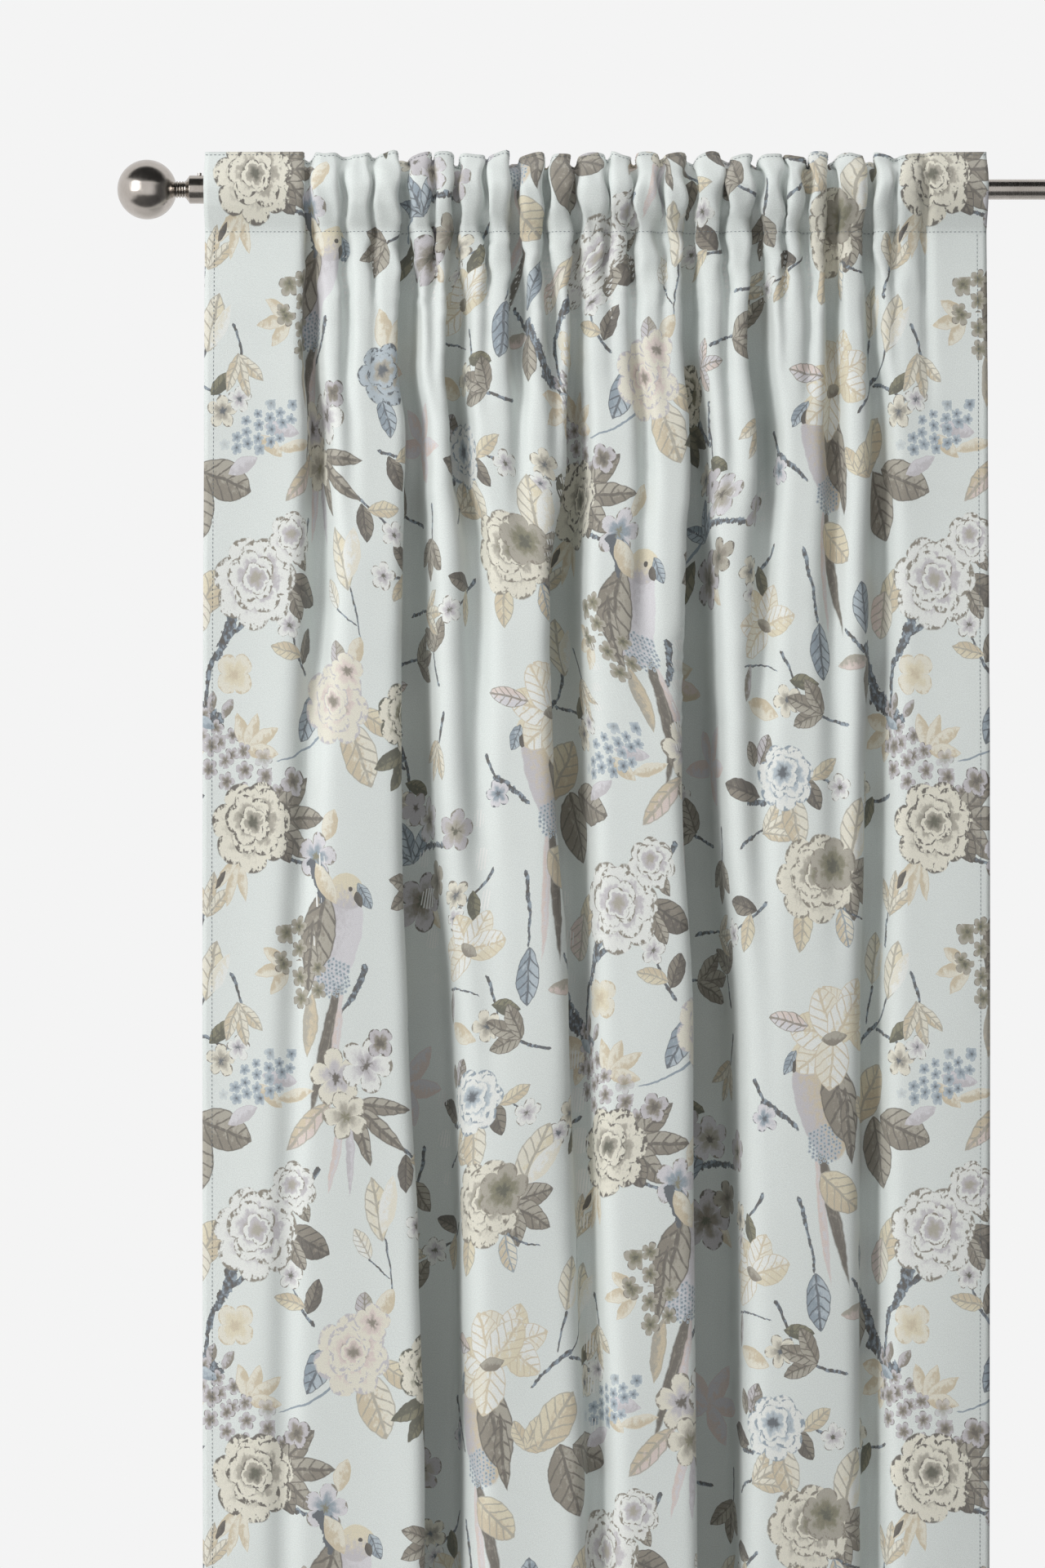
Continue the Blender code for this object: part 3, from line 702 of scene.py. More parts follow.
class Artwork:
    """The strokes that make up the print, first to last."""

    def __init__(self):
        self.strokes = []

    def paint(self, name, at, turn, size, **settings):
        """at in metres across and down the repeat, turn in degrees clockwise, size in metres along and off."""
        settings = {key.replace("_", " "): value for key, value in settings.items()}
        grown = 1.0 if name == "twig" else GROWN
        size = (size[0] * grown, size[1] * grown)
        self.strokes.append((name, at, turn, size, settings))

    def leaf(self, at, turn, length, width, light, dark, veins=None):
        half = width / length
        arc_centre = (1 - half * half) / (2 * half)
        shape = {"Half width": half, "Arc centre": arc_centre, "Light": light, "Dark": dark}
        if veins is None:
            self.paint("leaf", at, turn, (length, length), **shape)
        else:
            self.paint("veined leaf", at, turn, (length, length), **shape, Veins=veins)

    def oval(self, at, turn, length, width, light, dark):
        self.paint("oval", at, turn, (length, width), Light=light, Dark=dark)

    def ring(self, at, turn, radius, petals, depth, colours, cup=0.25):
        shades = dict(zip(PETALS, colours))
        size = (2 * radius, 2 * radius)
        self.paint("ring", at, turn, size, **shades, Petals=petals / 2, Depth=depth, Cup=cup)

    def peony(self, at, radius, colours, turn=0):
        """Rings of petals, each smaller, a little off the last and darker at its heart."""
        across, down = at
        lean = radius * 0.13
        self.ring((across, down), turn, radius, 7, 0.22, colours)
        self.ring((across + lean, down - lean), turn + 25, radius * 0.78, 6, 0.26, colours, 0.4)
        self.ring((across - lean * 0.6, down - lean * 1.2), turn + 60, radius * 0.56, 5, 0.28, colours, 0.35)
        if radius > 0.03:
            heart = (across + lean * 0.3, down - lean * 0.8)
            self.ring(heart, turn + 10, radius * 0.34, 4, 0.3, colours, 0.5)

    def blossom(self, at, radius, colours, turn=0):
        """A five-petalled flower with a dark eye."""
        self.ring(at, turn, radius, 5, 0.55, colours, 0.16)

    def bunch(self, at, turn, length, width, cell, colours):
        self.paint("bunch", at, turn, (length, width), **dict(zip(PETALS, colours)), Cell=cell)

    def spray(self, at, turn, length, width, colours, spread=46, count=3):
        """Leaves fanned out from one point."""
        for k in range(count):
            lean = turn + spread * (k - (count - 1) / 2)
            reach = length * (0.5 if k == count // 2 else 0.44)
            middle = (
                at[0] + reach * math.cos(math.radians(lean)), at[1] + reach * math.sin(math.radians(lean))
            )
            self.leaf(middle, lean, 2 * reach, width, *colours)

    def twig(self, start, end, width, bend=0.0, colour=None):
        run = (end[0] - start[0], end[1] - start[1])
        middle = ((start[0] + end[0]) / 2, (start[1] + end[1]) / 2)
        length = math.hypot(*run)
        turn = math.degrees(math.atan2(run[1], run[0]))
        shape = {"Bark": colour or BARK, "Thickness": 1.35 * width / length, "Bend": bend}
        self.paint("twig", middle, turn, (length, length), **shape)


GREY_LEAF = (STONE, TAUPE, DARK_TAUPE)
DARK_LEAF = (TAUPE, DARK_TAUPE, BROWN)
PALE_LEAF = (PALE_YELLOW, BEIGE, STONE)
LILAC_LEAF = (PALE_LILAC, LILAC)
BEIGE_LEAF = (CREAM, BEIGE)
PINK_LEAF = (PALE_LILAC, PINK_BEIGE)
OLIVE_LEAF = (OLIVE, DARK_OLIVE, DARK_OLIVE)
BLUE_LEAF = (PALE_BLUE, BLUE_GREY, SLATE)


def magnolia_bough(art):
    art.twig((0.004, 0.192), (-0.020, 0.226), 0.0022, 0.15)
    art.twig((-0.026, 0.184), (-0.034, 0.226), 0.0020)
    art.twig((-0.016, 0.222), (-0.060, 0.262), 0.0034, -0.1)
    art.leaf((0.010, 0.170), -78, 0.054, 0.024, CREAM, PALE_YELLOW, STONE)
    art.leaf((0.018, 0.174), -62, 0.044, 0.014, CREAM, WHITE)
    art.leaf((-0.024, 0.158), -84, 0.048, 0.022, CREAM, PALE_YELLOW, STONE)
    art.leaf((-0.016, 0.162), -74, 0.038, 0.012, WHITE, CREAM)
    magnolia(art, (-0.088, 0.220), 0.036, 20)
    art.leaf((-0.030, 0.292), -58, 0.060, 0.036, *PALE_LEAF)
    art.leaf((-0.012, 0.350), 72, 0.066, 0.042, *GREY_LEAF)
    art.leaf((0.022, 0.326), 20, 0.060, 0.036, *GREY_LEAF)
    art.leaf((0.044, 0.312), -28, 0.034, 0.014, *LILAC_LEAF)
    art.leaf((0.086, 0.276), 10, 0.036, 0.014, *LILAC_LEAF)
    art.leaf((0.074, 0.292), 40, 0.032, 0.013, *BEIGE_LEAF)
    art.bunch((0.066, 0.276), -26, 0.082, 0.034, 0.0125, (SLATE, BLUE_GREY, PALE_BLUE, BLUE_GREY))


def magnolia(art, at, reach, turn):
    """A wide open flower of slim pale petals."""
    for k, lean in enumerate((-150, -95, -40, 15, 165)):
        angle = math.radians(turn + lean)
        middle = (at[0] + reach * 0.55 * math.cos(angle), at[1] + reach * 0.55 * math.sin(angle))
        shade = PALE_YELLOW if k % 2 else CREAM
        art.leaf(middle, turn + lean, reach * 1.25, reach * 0.8, WHITE, shade, BEIGE)
    art.leaf(at, turn + 60, reach * 0.6, reach * 0.3, STONE, TAUPE)


def rose_bough(art):
    art.twig((0.034, 0.452), (0.012, 0.506), 0.0085, 0.12)
    art.twig((0.052, 0.462), (0.022, 0.484), 0.0042, 0.1)
    art.twig((0.012, 0.500), (0.004, 0.552), 0.0040, -0.1)
    art.twig((0.130, 0.362), (0.112, 0.392), 0.0036)
    art.leaf((0.006, 0.438), -60, 0.050, 0.030, *PALE_LEAF)
    art.leaf((-0.008, 0.458), 100, 0.044, 0.030, CREAM, PINK_BEIGE, STONE)
    art.leaf((0.116, 0.436), 28, 0.048, 0.028, *DARK_LEAF)
    art.leaf((0.104, 0.448), 62, 0.034, 0.016, *GREY_LEAF)
    art.peony((0.058, 0.428), 0.042, WHITE_PETALS, 15)
    art.leaf((0.110, 0.402), 62, 0.030, 0.014, *GREY_LEAF)
    art.peony((0.100, 0.384), 0.024, WHITE_PETALS, 40)
    art.ring((0.036, 0.518), 0, 0.020, 4, 0.45, CREAM_PETALS)
    art.leaf((0.010, 0.546), -80, 0.020, 0.010, LILAC, TAUPE)
    art.leaf((0.028, 0.552), -55, 0.020, 0.010, LILAC, TAUPE)
    art.leaf((0.004, 0.566), 30, 0.022, 0.010, PALE_BLUE, BLUE_GREY)
    art.spray((0.050, 0.592), -50, 0.040, 0.014, BEIGE_LEAF, 38, 4)
    art.bunch((0.042, 0.614), 28, 0.100, 0.046, 0.0205, GREY_PETALS)


def dark_peony(art):
    art.twig((0.076, 0.048), (0.128, 0.066), 0.0036, -0.1)
    art.twig((0.124, 0.064), (0.150, 0.058), 0.0022)
    art.twig((0.124, 0.064), (0.146, 0.092), 0.0026, 0.15)
    art.spray((0.082, 0.020), 0, 0.062, 0.022, GREY_LEAF, 44, 3)
    art.leaf((0.090, 0.044), 62, 0.040, 0.022, *DARK_LEAF)
    art.spray((0.040, 0.058), 104, 0.048, 0.011, BEIGE_LEAF, 26, 3)
    art.leaf((0.020, 0.080), 120, 0.020, 0.006, BROWN, DARK_TAUPE)
    art.peony((0.056, 0.028), 0.041, GREEN_PETALS, 10)
    art.ring((0.104, -0.016), 20, 0.014, 4, 0.5, GREY_PETALS)
    art.leaf((0.154, 0.026), -70, 0.030, 0.016, CREAM, BEIGE)
    art.blossom((0.136, 0.058), 0.022, (OLIVE, BLUE_GREY, PALE_LILAC, TAUPE), 30)
    art.leaf((0.148, 0.082), 70, 0.034, 0.012, *BLUE_LEAF)


def parrot(art, at, flip, back, breast, wing):
    """A perched bird with a hooked beak, a folded wing and a long tail. flip is 1 or -1."""

    def place(across, down):
        return at[0] + flip * across, at[1] + down

    def turned(angle):
        return angle if flip > 0 else 180 - angle

    art.leaf(place(-0.030, 0.150), turned(104), 0.150, 0.014, *wing[:2], DARK_TAUPE)
    art.leaf(place(-0.020, 0.160), turned(98), 0.130, 0.010, PALE_LILAC, PINK_BEIGE)
    art.oval(place(-0.014, 0.052), turned(112), 0.100, 0.044, breast, back)
    art.bunch(place(-0.020, 0.088), 0, 0.034, 0.034, 0.0042, (SLATE, BLUE_GREY, PALE_BLUE, back))
    art.leaf(place(-0.036, 0.046), turned(106), 0.084, 0.036, *wing)
    art.leaf(place(-0.046, 0.070), turned(98), 0.070, 0.016, *wing)
    art.oval(place(0.0, 0.004), 0, 0.036, 0.032, PALE_YELLOW, back)
    art.leaf(place(0.020, 0.008), turned(62), 0.026, 0.013, PALE_BLUE, BLUE_GREY, SLATE)
    art.leaf(place(0.013, 0.011), turned(70), 0.014, 0.008, DARK_TAUPE, BROWN)
    art.oval(place(0.004, 0.001), 0, 0.0042, 0.0042, BROWN, BROWN)


def parrot_perch(art):
    art.twig((0.186, 0.162), (0.150, 0.216), 0.0050, 0.16)
    art.twig((0.152, 0.208), (0.146, 0.262), 0.0064, -0.08)
    parrot(art, (0.170, 0.088), 1, LILAC, PALE_LILAC, (STONE, TAUPE, DARK_TAUPE))
    art.twig((0.126, 0.060), (0.142, 0.104), 0.0070, 0.1, SLATE)
    art.leaf((0.146, 0.084), 60, 0.040, 0.018, CREAM, BEIGE)
    art.spray((0.096, 0.166), 170, 0.036, 0.013, BEIGE_LEAF, 44, 3)
    art.leaf((0.122, 0.222), 96, 0.060, 0.016, BEIGE, STONE)
    art.bunch((0.112, 0.164), 78, 0.082, 0.042, 0.0220, (DARK_OLIVE, OLIVE, STONE, DARK_TAUPE))
    art.leaf((0.118, 0.322), 136, 0.064, 0.020, PINK_BEIGE, BEIGE, STONE)
    art.leaf((0.104, 0.292), 168, 0.040, 0.012, BEIGE, CREAM)
    art.spray((0.168, 0.300), 40, 0.070, 0.016, GREY_LEAF, 34, 3)
    art.leaf((0.150, 0.344), 104, 0.084, 0.010, PALE_LILAC, PINK_BEIGE)
    art.leaf((0.164, 0.350), 92, 0.076, 0.009, PALE_LILAC, LILAC)
    art.blossom((0.150, 0.274), 0.026, (DARK_TAUPE, LILAC, CREAM, TAUPE), 10)
    art.blossom((0.184, 0.262), 0.026, (DARK_TAUPE, LILAC, WHITE, TAUPE), 40)
    art.blossom((0.160, 0.312), 0.022, (OLIVE, STONE, CREAM, TAUPE), 70)
    art.ring((0.200, 0.240), 0, 0.014, 4, 0.5, GREY_PETALS)


def pink_peony(art):
    art.leaf((0.192, 0.404), -100, 0.058, 0.024, CREAM, PALE_YELLOW, STONE)
    art.leaf((0.204, 0.400), -78, 0.052, 0.018, WHITE, CREAM)
    art.leaf((0.176, 0.438), -120, 0.030, 0.016, WHITE, CREAM, STONE)
    art.twig((0.200, 0.430), (0.208, 0.500), 0.0018, 0.06)
    art.twig((0.182, 0.452), (0.206, 0.472), 0.0014)
    art.leaf((0.178, 0.500), -90, 0.028, 0.018, LILAC, STONE, TAUPE)
    art.leaf((0.200, 0.496), -60, 0.030, 0.016, CREAM, BEIGE)
    art.leaf((0.128, 0.560), 118, 0.052, 0.024, *BLUE_LEAF)
    art.twig((0.146, 0.576), (0.082, 0.604), 0.0022, 0.14, BLUE_GREY)
    art.leaf((0.190, 0.596), 70, 0.064, 0.036, CREAM, BEIGE, STONE)
    art.leaf((0.214, 0.566), 30, 0.044, 0.022, *PALE_LEAF)
    art.peony((0.164, 0.548), 0.037, PINK_PETALS, 35)
    art.ring((0.186, 0.516), 20, 0.018, 5, 0.4, PINK_PETALS)


def olive_peony(art):
    art.twig((0.276, 0.586), (0.312, 0.612), 0.0052, -0.12)
    art.twig((0.308, 0.606), (0.306, 0.566), 0.0050, 0.1)
    art.twig((0.262, 0.548), (0.312, 0.524), 0.0018, -0.18)
    art.spray((0.284, 0.534), -12, 0.034, 0.015, PINK_LEAF + (TAUPE,), 60, 3)
    art.spray((0.252, 0.590), 90, 0.054, 0.017, OLIVE_LEAF, 32, 5)
    art.peony((0.250, 0.562), 0.032, OLIVE_PETALS, 20)
    art.spray((0.270, 0.200), -60, 0.050, 0.020, BEIGE_LEAF, 48, 3)
    art.leaf((0.302, 0.212), 14, 0.044, 0.020, PINK_BEIGE, BEIGE)
    art.leaf((0.262, 0.262), 80, 0.040, 0.018, *BLUE_LEAF)
    art.peony((0.266, 0.222), 0.028, GREY_BLUE_PETALS, 50)


def grey_blossoms(art):
    art.twig((0.300, 0.060), (0.400, 0.048), 0.0060, 0.12)
    art.twig((0.332, 0.052), (0.300, 0.090), 0.0034, -0.1, BLUE_GREY)
    art.spray((0.330, 0.064), -118, 0.044, 0.015, BLUE_LEAF, 44, 3)
    art.leaf((0.304, 0.110), 108, 0.050, 0.018, *OLIVE_LEAF)
    art.leaf((0.370, 0.118), 40, 0.034, 0.012, *BEIGE_LEAF)
    art.blossom((0.350, 0.022), 0.021, (DARK_TAUPE, STONE, PALE_LILAC, TAUPE), 10)
    art.blossom((0.324, 0.010), 0.016, (DARK_TAUPE, LILAC, LILAC, TAUPE), 50)
    art.blossom((0.348, 0.104), 0.028, (DARK_OLIVE, TAUPE, LILAC, DARK_TAUPE), 30)
    art.blossom((0.376, 0.082), 0.018, (DARK_OLIVE, TAUPE, STONE, DARK_TAUPE), 0)
    art.spray((0.352, 0.290), -60, 0.046, 0.018, PINK_LEAF, 62, 5)


def blue_peony(art):
    art.twig((0.430, 0.322), (0.456, 0.326), 0.0050)
    art.leaf((0.424, 0.312), 196, 0.044, 0.020, *DARK_LEAF)
    art.leaf((0.454, 0.272), -70, 0.028, 0.017, LILAC, TAUPE, DARK_TAUPE)
    art.leaf((0.438, 0.276), -110, 0.024, 0.014, STONE, TAUPE, DARK_TAUPE)
    art.leaf((0.490, 0.342), 76, 0.052, 0.026, CREAM, BEIGE, STONE)
    art.peony((0.478, 0.300), 0.030, BLUE_PETALS, 10)
    art.leaf((0.560, 0.352), -76, 0.060, 0.032, CREAM, PALE_YELLOW, STONE)
    art.leaf((0.572, 0.358), -58, 0.050, 0.018, WHITE, CREAM)
    art.spray((0.546, 0.398), 28, 0.048, 0.022, GREY_LEAF, 46, 3)
    art.leaf((0.500, 0.448), 96, 0.044, 0.020, *PALE_LEAF)
    art.twig((0.544, 0.428), (0.584, 0.440), 0.0020, -0.15)
    art.leaf((0.548, 0.448), 76, 0.036, 0.018, CREAM, BEIGE, BLUE_GREY)
    art.peony((0.514, 0.400), 0.040, (OLIVE, STONE, CREAM, TAUPE), 0)
    art.ring((0.534, 0.386), 20, 0.024, 5, 0.35, (DARK_OLIVE, OLIVE, STONE, TAUPE))
    magnolia(art, (0.536, 0.556), 0.042, -70)
    art.leaf((0.486, 0.540), 190, 0.040, 0.018, PALE_LILAC, PINK_BEIGE, TAUPE)


def second_parrot(art):
    art.twig((0.456, 0.618), (0.500, 0.648), 0.0044, 0.1)
    art.twig((0.448, 0.596), (0.462, 0.622), 0.0030)
    art.blossom((0.462, 0.636), 0.013, (SLATE, BLUE_GREY, PALE_LILAC, SLATE), 0)
    art.blossom((0.410, 0.672), 0.020, (DARK_OLIVE, STONE, LILAC, TAUPE), 20)
    parrot(art, (0.508, 0.572), -1, LILAC, BEIGE, (STONE, TAUPE, DARK_TAUPE))
    art.spray((0.580, 0.640), -70, 0.034, 0.016, PALE_LEAF, 50, 3)
    art.twig((0.500, 0.070), (0.520, 0.150), 0.0034, 0.06)
    art.leaf((0.524, 0.176), 84, 0.052, 0.024, *BLUE_LEAF)
    art.leaf((0.546, 0.068), 40, 0.050, 0.032, *PALE_LEAF)
    magnolia(art, (0.452, 0.150), 0.034, -30)
    art.twig((0.420, 0.190), (0.474, 0.196), 0.0018, 0.14)
    art.leaf((0.428, 0.206), 96, 0.034, 0.010, LILAC, TAUPE)


def thick_branch(art):
    art.twig((0.586, 0.166), (0.622, 0.222), 0.0120, 0.10)
    art.twig((0.612, 0.212), (0.664, 0.246), 0.0125, -0.10)
    art.twig((0.584, 0.176), (0.560, 0.152), 0.0036)
    art.leaf((0.586, 0.132), -96, 0.046, 0.024, PALE_BLUE, BLUE_GREY, SLATE)
    art.leaf((0.594, 0.204), 100, 0.044, 0.024, *GREY_LEAF)
    art.leaf((0.570, 0.186), 172, 0.040, 0.014, PINK_BEIGE, STONE)
    art.spray((0.640, 0.250), 150, 0.040, 0.016, BEIGE_LEAF, 44, 3)
    art.bunch((0.656, 0.258), 50, 0.060, 0.036, 0.0180, GREY_PETALS)
    art.leaf((0.450, 0.232), 200, 0.040, 0.018, *BEIGE_LEAF)


def gap(first, second):
    """How far apart two places on the print are, over the repeat and its half drop."""
    across = first[0] - second[0]
    near = (across + REPEAT / 2) % REPEAT - REPEAT / 2
    down = first[1] - second[1] - (across - near) * 0.5
    return math.hypot(near, (down + REPEAT / 2) % REPEAT - REPEAT / 2)


def sprig(art, at, turn, kind):
    """A small twig with leaves, buds or a blossom."""
    lean = math.radians(turn)

    def place(far, side=0.0):
        across, down = math.cos(lean), math.sin(lean)
        return at[0] + far * across - side * down, at[1] + far * down + side * across

    art.twig(place(-0.034), place(0.022), 0.0026, 0.14)
    if kind == 0:
        art.spray(place(0.004), turn, 0.040, 0.017, GREY_LEAF, 42, 3)
    elif kind == 1:
        art.leaf(place(-0.006, 0.013), turn + 48, 0.034, 0.017, *DARK_LEAF)
        art.leaf(place(0.002, -0.013), turn - 48, 0.034, 0.015, *PALE_LEAF)
        art.blossom(place(0.024), 0.013, (DARK_OLIVE, LILAC, WHITE, TAUPE), turn)
    elif kind == 2:
        art.spray(place(0.0), turn, 0.042, 0.013, (CREAM, BEIGE, STONE), 34, 3)
    else:
        art.leaf(place(0.006, -0.014), turn - 62, 0.030, 0.014, *OLIVE_LEAF)
        art.blossom(place(0.016, 0.012), 0.015, (SLATE, STONE, CREAM, TAUPE), turn)
        art.blossom(place(0.030, -0.006), 0.012, (SLATE, LILAC, WHITE, TAUPE), turn)


def fill_gaps(artwork):
    """Sprigs on the open ground, under the larger motifs."""
    random = np.random.default_rng(SEED + 2)
    taken = [(at, max(size) / 2) for _, at, _, size, _ in artwork.strokes]
    sprigs = Artwork()
    count = 0
    for _ in range(SPRIG_TRIES):
        at = tuple(float(value) for value in random.uniform(0, REPEAT, 2))
        if count == SPRIGS or min(gap(at, other) - reach for other, reach in taken) < SPRIG_GAP:
            continue
        sprig(sprigs, at, float(random.uniform(0, 360)), count % 4)
        taken.append((at, SPRIG_REACH))
        count += 1
    artwork.strokes = sprigs.strokes + artwork.strokes


def patch_middle(patch):
    return (patch[1] + 0.5) * PATCH, (patch[0] + 0.5) * PATCH


def from_patch(patch, at):
    """How far a motif lies from a patch's middle, at the repeat where it is nearest."""
    middle = patch_middle(patch)
    found = []
    for columns in (-1, 0, 1):
        for rows in (-2, -1, 0, 1, 2):
            across = at[0] + columns * REPEAT - middle[0]
            down = at[1] + (columns / 2 + rows) * REPEAT - middle[1]
            found.append((max(abs(across), abs(down)), (across, down)))
    return min(found)


def patch_of(across, down):
    """The number of the patch that holds each place of the flat cloth."""
    column = np.floor(across / REPEAT)
    lowered = np.mod(down - column * REPEAT / 2, REPEAT)
    return (lowered // PATCH * 4 + (across - column * REPEAT) // PATCH).astype(int)


def make_patch(patch, artwork, stencils):
    """The printed face of the cloth on one patch of the repeat, with the motifs that reach it."""
    finish = Finish(f"printed cotton {patch[0]}{patch[1]}", Roughness=0.78, Sheen_Weight=0.12)
    flat = finish.flat_place("cloth")
    wobble = finish.parts(finish.noise(flat, 55.0).outputs["Color"])
    stroke = finish.vector("MULTIPLY", flat, (1.0, 0.7, 1.0))
    brush = finish.value("ShaderNodeTexNoise", None, {"Vector": stroke, "Scale": 210.0, "Roughness": 0.6})
    places = finish.parts(flat)
    across, down = (places[k] + (wobble[k] - 0.5) * 0.0055 + (brush - 0.5) * 0.0012 for k in (0, 1))
    bark = finish.ramp(brush, [(0.36, BROWN), (0.5, SLATE), (0.62, BLUE_GREY)])
    from_middle = across - patch_middle(patch)[0]
    near = from_middle.wrapped(REPEAT / 2)
    low = (down - patch_middle(patch)[1] - (from_middle - near) * 0.5).wrapped(REPEAT / 2)
    colour = GROUND
    for name, at, turn, size, settings in artwork.strokes:
        apart, away = from_patch(patch, at)
        if apart > PATCH / 2 + max(size) / 2 + PRINT_MARGIN:
            continue
        inputs = {"Under": colour, "Brush": brush, "Across": near, "Down": low, **settings}
        if settings.get("Bark") == BARK:
            inputs["Bark"] = bark
        for line, lean, length in (("Along", turn, size[0]), ("Off", turn + 90, size[1])):
            by_across, by_down = (2 / length * f(math.radians(lean)) for f in (math.cos, math.sin))
            start = -(away[0] * by_across + away[1] * by_down)
            inputs[line + " by across"] = by_across
            inputs[line + " by down"] = by_down
            inputs[line + " start"] = start
        colour = finish.stamp(stencils[name], inputs)
    wash = Value(finish, finish.noise(flat, 14.0, 3.0).outputs[0])
    grain = Value(finish, finish.noise(flat, 900.0).outputs[0])
    colour = finish.blend(colour, finish.ramp(wash, [(0.3, tint(240, 244, 244)), (0.7, WHITE)]), 0.10)
    shade = finish.ramp(grain, [(0.25, tint(232, 232, 232)), (0.75, (1, 1, 1, 1))])
    finish.colour(finish.blend(colour, shade, 1.0, "MULTIPLY"))
    weave(finish, flat, 0.00022)
    return finish


def make_printed_front():
    """One finish for each patch of the print."""
    artwork = Artwork()
    for motif in (
        grey_blossoms, thick_branch, second_parrot, magnolia_bough, rose_bough, dark_peony,
        parrot_perch, pink_peony, olive_peony, blue_peony,
    ):
        motif(artwork)
    fill_gaps(artwork)
    stencils = {name: stencil(name, *made) for name, made in STENCILS.items()}
    return [make_patch(patch, artwork, stencils) for patch in PATCHES]


def weave(finish, flat, height, pitch=0.0007):
    """A plain weave: threads across and down, over and under in turn."""
    across, down, _ = finish.parts(flat)
    turn = math.pi / pitch
    over = (across * turn).sine() * (down * turn).sine()
    thread = over * 0.5 + Value(finish, finish.noise(flat, 260.0, 3.0).outputs[0]) * 1.2
    finish.bump(thread, height)


def make_reverse(name="unprinted reverse"):
    finish = Finish(name, Roughness=0.86, Sheen_Weight=0.1)
    flat = finish.flat_place("cloth")
    mottle = Value(finish, finish.noise(flat, 30.0, 4.0).outputs[0])
    finish.colour(finish.ramp(mottle, [(0.3, tint(222, 224, 221)), (0.7, tint(236, 237, 234))]))
    weave(finish, flat, 0.00022)
    return finish


# ---------------------------------------------------------------- studio


def make_camera():
    camera = bpy.data.cameras.new("camera")
    camera.sensor_fit = "HORIZONTAL"
    camera.sensor_width = 36.0
    distance, view_width = 5.0, 1.037
    camera.lens = camera.sensor_width * distance / view_width
    camera.clip_end = 60.0
    holder = link("camera", camera)
    holder.location = (-0.0725, -distance, -0.590)
    holder.rotation_euler = (math.radians(90), 0, 0)
    bpy.context.scene.camera = holder


def soft_light(name, place, target, size, power, colour=(1, 1, 1)):
    lamp = bpy.data.lights.new(name, "AREA")
    lamp.shape = "RECTANGLE"
    lamp.size, lamp.size_y = size
    lamp.energy = power
    lamp.color = colour
    holder = link(name, lamp)
    holder.location = place
    holder.rotation_euler = (Vector(target) - Vector(place)).to_track_quat("-Z", "Y").to_euler()
    return holder


def dark_card(name, place, size, shade):
    """A card out of sight that darkens what the cloth and the steel see on that side."""
    card = link(name, bpy.data.meshes.new(name))
    bm = bmesh.new()
    bmesh.ops.create_cube(bm, size=1.0, matrix=Matrix.Diagonal((*size, 1.0)))
    bm.to_mesh(card.data)
    bm.free()
    card.location = place
    material = bpy.data.materials.new(name)
    material.use_nodes = True
    material.node_tree.nodes["Principled BSDF"].inputs["Base Color"].default_value = (shade, shade, shade, 1)
    material.node_tree.nodes["Principled BSDF"].inputs["Roughness"].default_value = 1.0
    card.data.materials.append(material)
    card.visible_camera = False
    return card


def make_studio():
    world = bpy.data.worlds.new("pale studio")
    bpy.context.scene.world = world
    world.use_nodes = True
    background = world.node_tree.nodes["Background"]
    background.inputs["Color"].default_value = (0.905, 0.905, 0.905, 1)
    background.inputs["Strength"].default_value = 1.0
    bpy.context.scene.view_settings.view_transform = "Standard"
    bpy.context.scene.view_settings.look = "None"
    soft_light("key light", (-3.2, -3.0, 0.6), (0, 0, -0.8), (1.2, 2.4), 100)
    dark_card("card on the right", (1.7, -1.2, -0.6), (0.08, 4.0, 3.2), 0.10)
    front_card = dark_card("card in front", (0.9, -3.4, -0.6), (3.4, 0.08, 3.2), 0.16)
    front_card.visible_glossy = False
    for name, place, shade in (("card above", (0, -1.2, 1.3), 0.035), ("card below", (0, -1.6, -1.5), 0.10)):
        card = dark_card(name, place, (5.0, 2.6, 0.05), shade)
        card.visible_diffuse = False
        card.visible_shadow = False
    floor = link("floor", bpy.data.meshes.new("floor"))
    bm = bmesh.new()
    bmesh.ops.create_circle(bm, cap_ends=True, segments=96, radius=2.4)
    bm.to_mesh(floor.data)
    bm.free()
    floor.location.z = BOTTOM_Z - 0.03
    material = bpy.data.materials.new("floor")
    material.use_nodes = True
    material.node_tree.nodes["Principled BSDF"].inputs["Base Color"].default_value = (0.78, 0.78, 0.78, 1)
    material.node_tree.nodes["Principled BSDF"].inputs["Roughness"].default_value = 0.9
    floor.data.materials.append(material)


# ---------------------------------------------------------------- pieces


def cross_fold(piece):
    """Bakes the piece's placement into its mesh and leaves it on no body."""
    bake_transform(piece)


def make_curtain(cloth):
    u, v = np.meshgrid(cloth.across, cloth.down)
    front = cloth.points + cloth.normals * CLOTH / 2
    back = cloth.points - cloth.normals * CLOTH / 2
    middle_u = (cloth.across[:-1] + cloth.across[1:]) / 2
    middle_v = (cloth.down[:-1] + cloth.down[1:]) / 2
    patches = patch_of(*np.meshgrid(middle_u, middle_v)).ravel()
    reverse = len(PATCHES)
    mesh = strip_mesh("curtain", front, back, {"cloth": np.stack([u, v], axis=-1)}, patches, reverse, reverse)
    curtain = link("curtain", mesh)
    for finish in make_printed_front():
        finish.put_on(mesh)
    make_reverse().put_on(mesh)
    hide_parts("heading_cloth", "panel_cloth")
    cross_fold(curtain)
    return curtain


def make_patch_of_cloth(name, sheet, u, v, behind, thick, finish):
    """A thin strip that lies on the back of a sheet, over the grid u by v of it."""
    u, v = np.meshgrid(u, v)
    front, back = sheet.at(u, v, thick / 2 - behind), sheet.at(u, v, -thick / 2 - behind)
    mesh = strip_mesh(name, front, back, {"cloth": np.stack([u, v], axis=-1)}, 0, 0, 0)
    finish.put_on(mesh)
    return link(name, mesh)


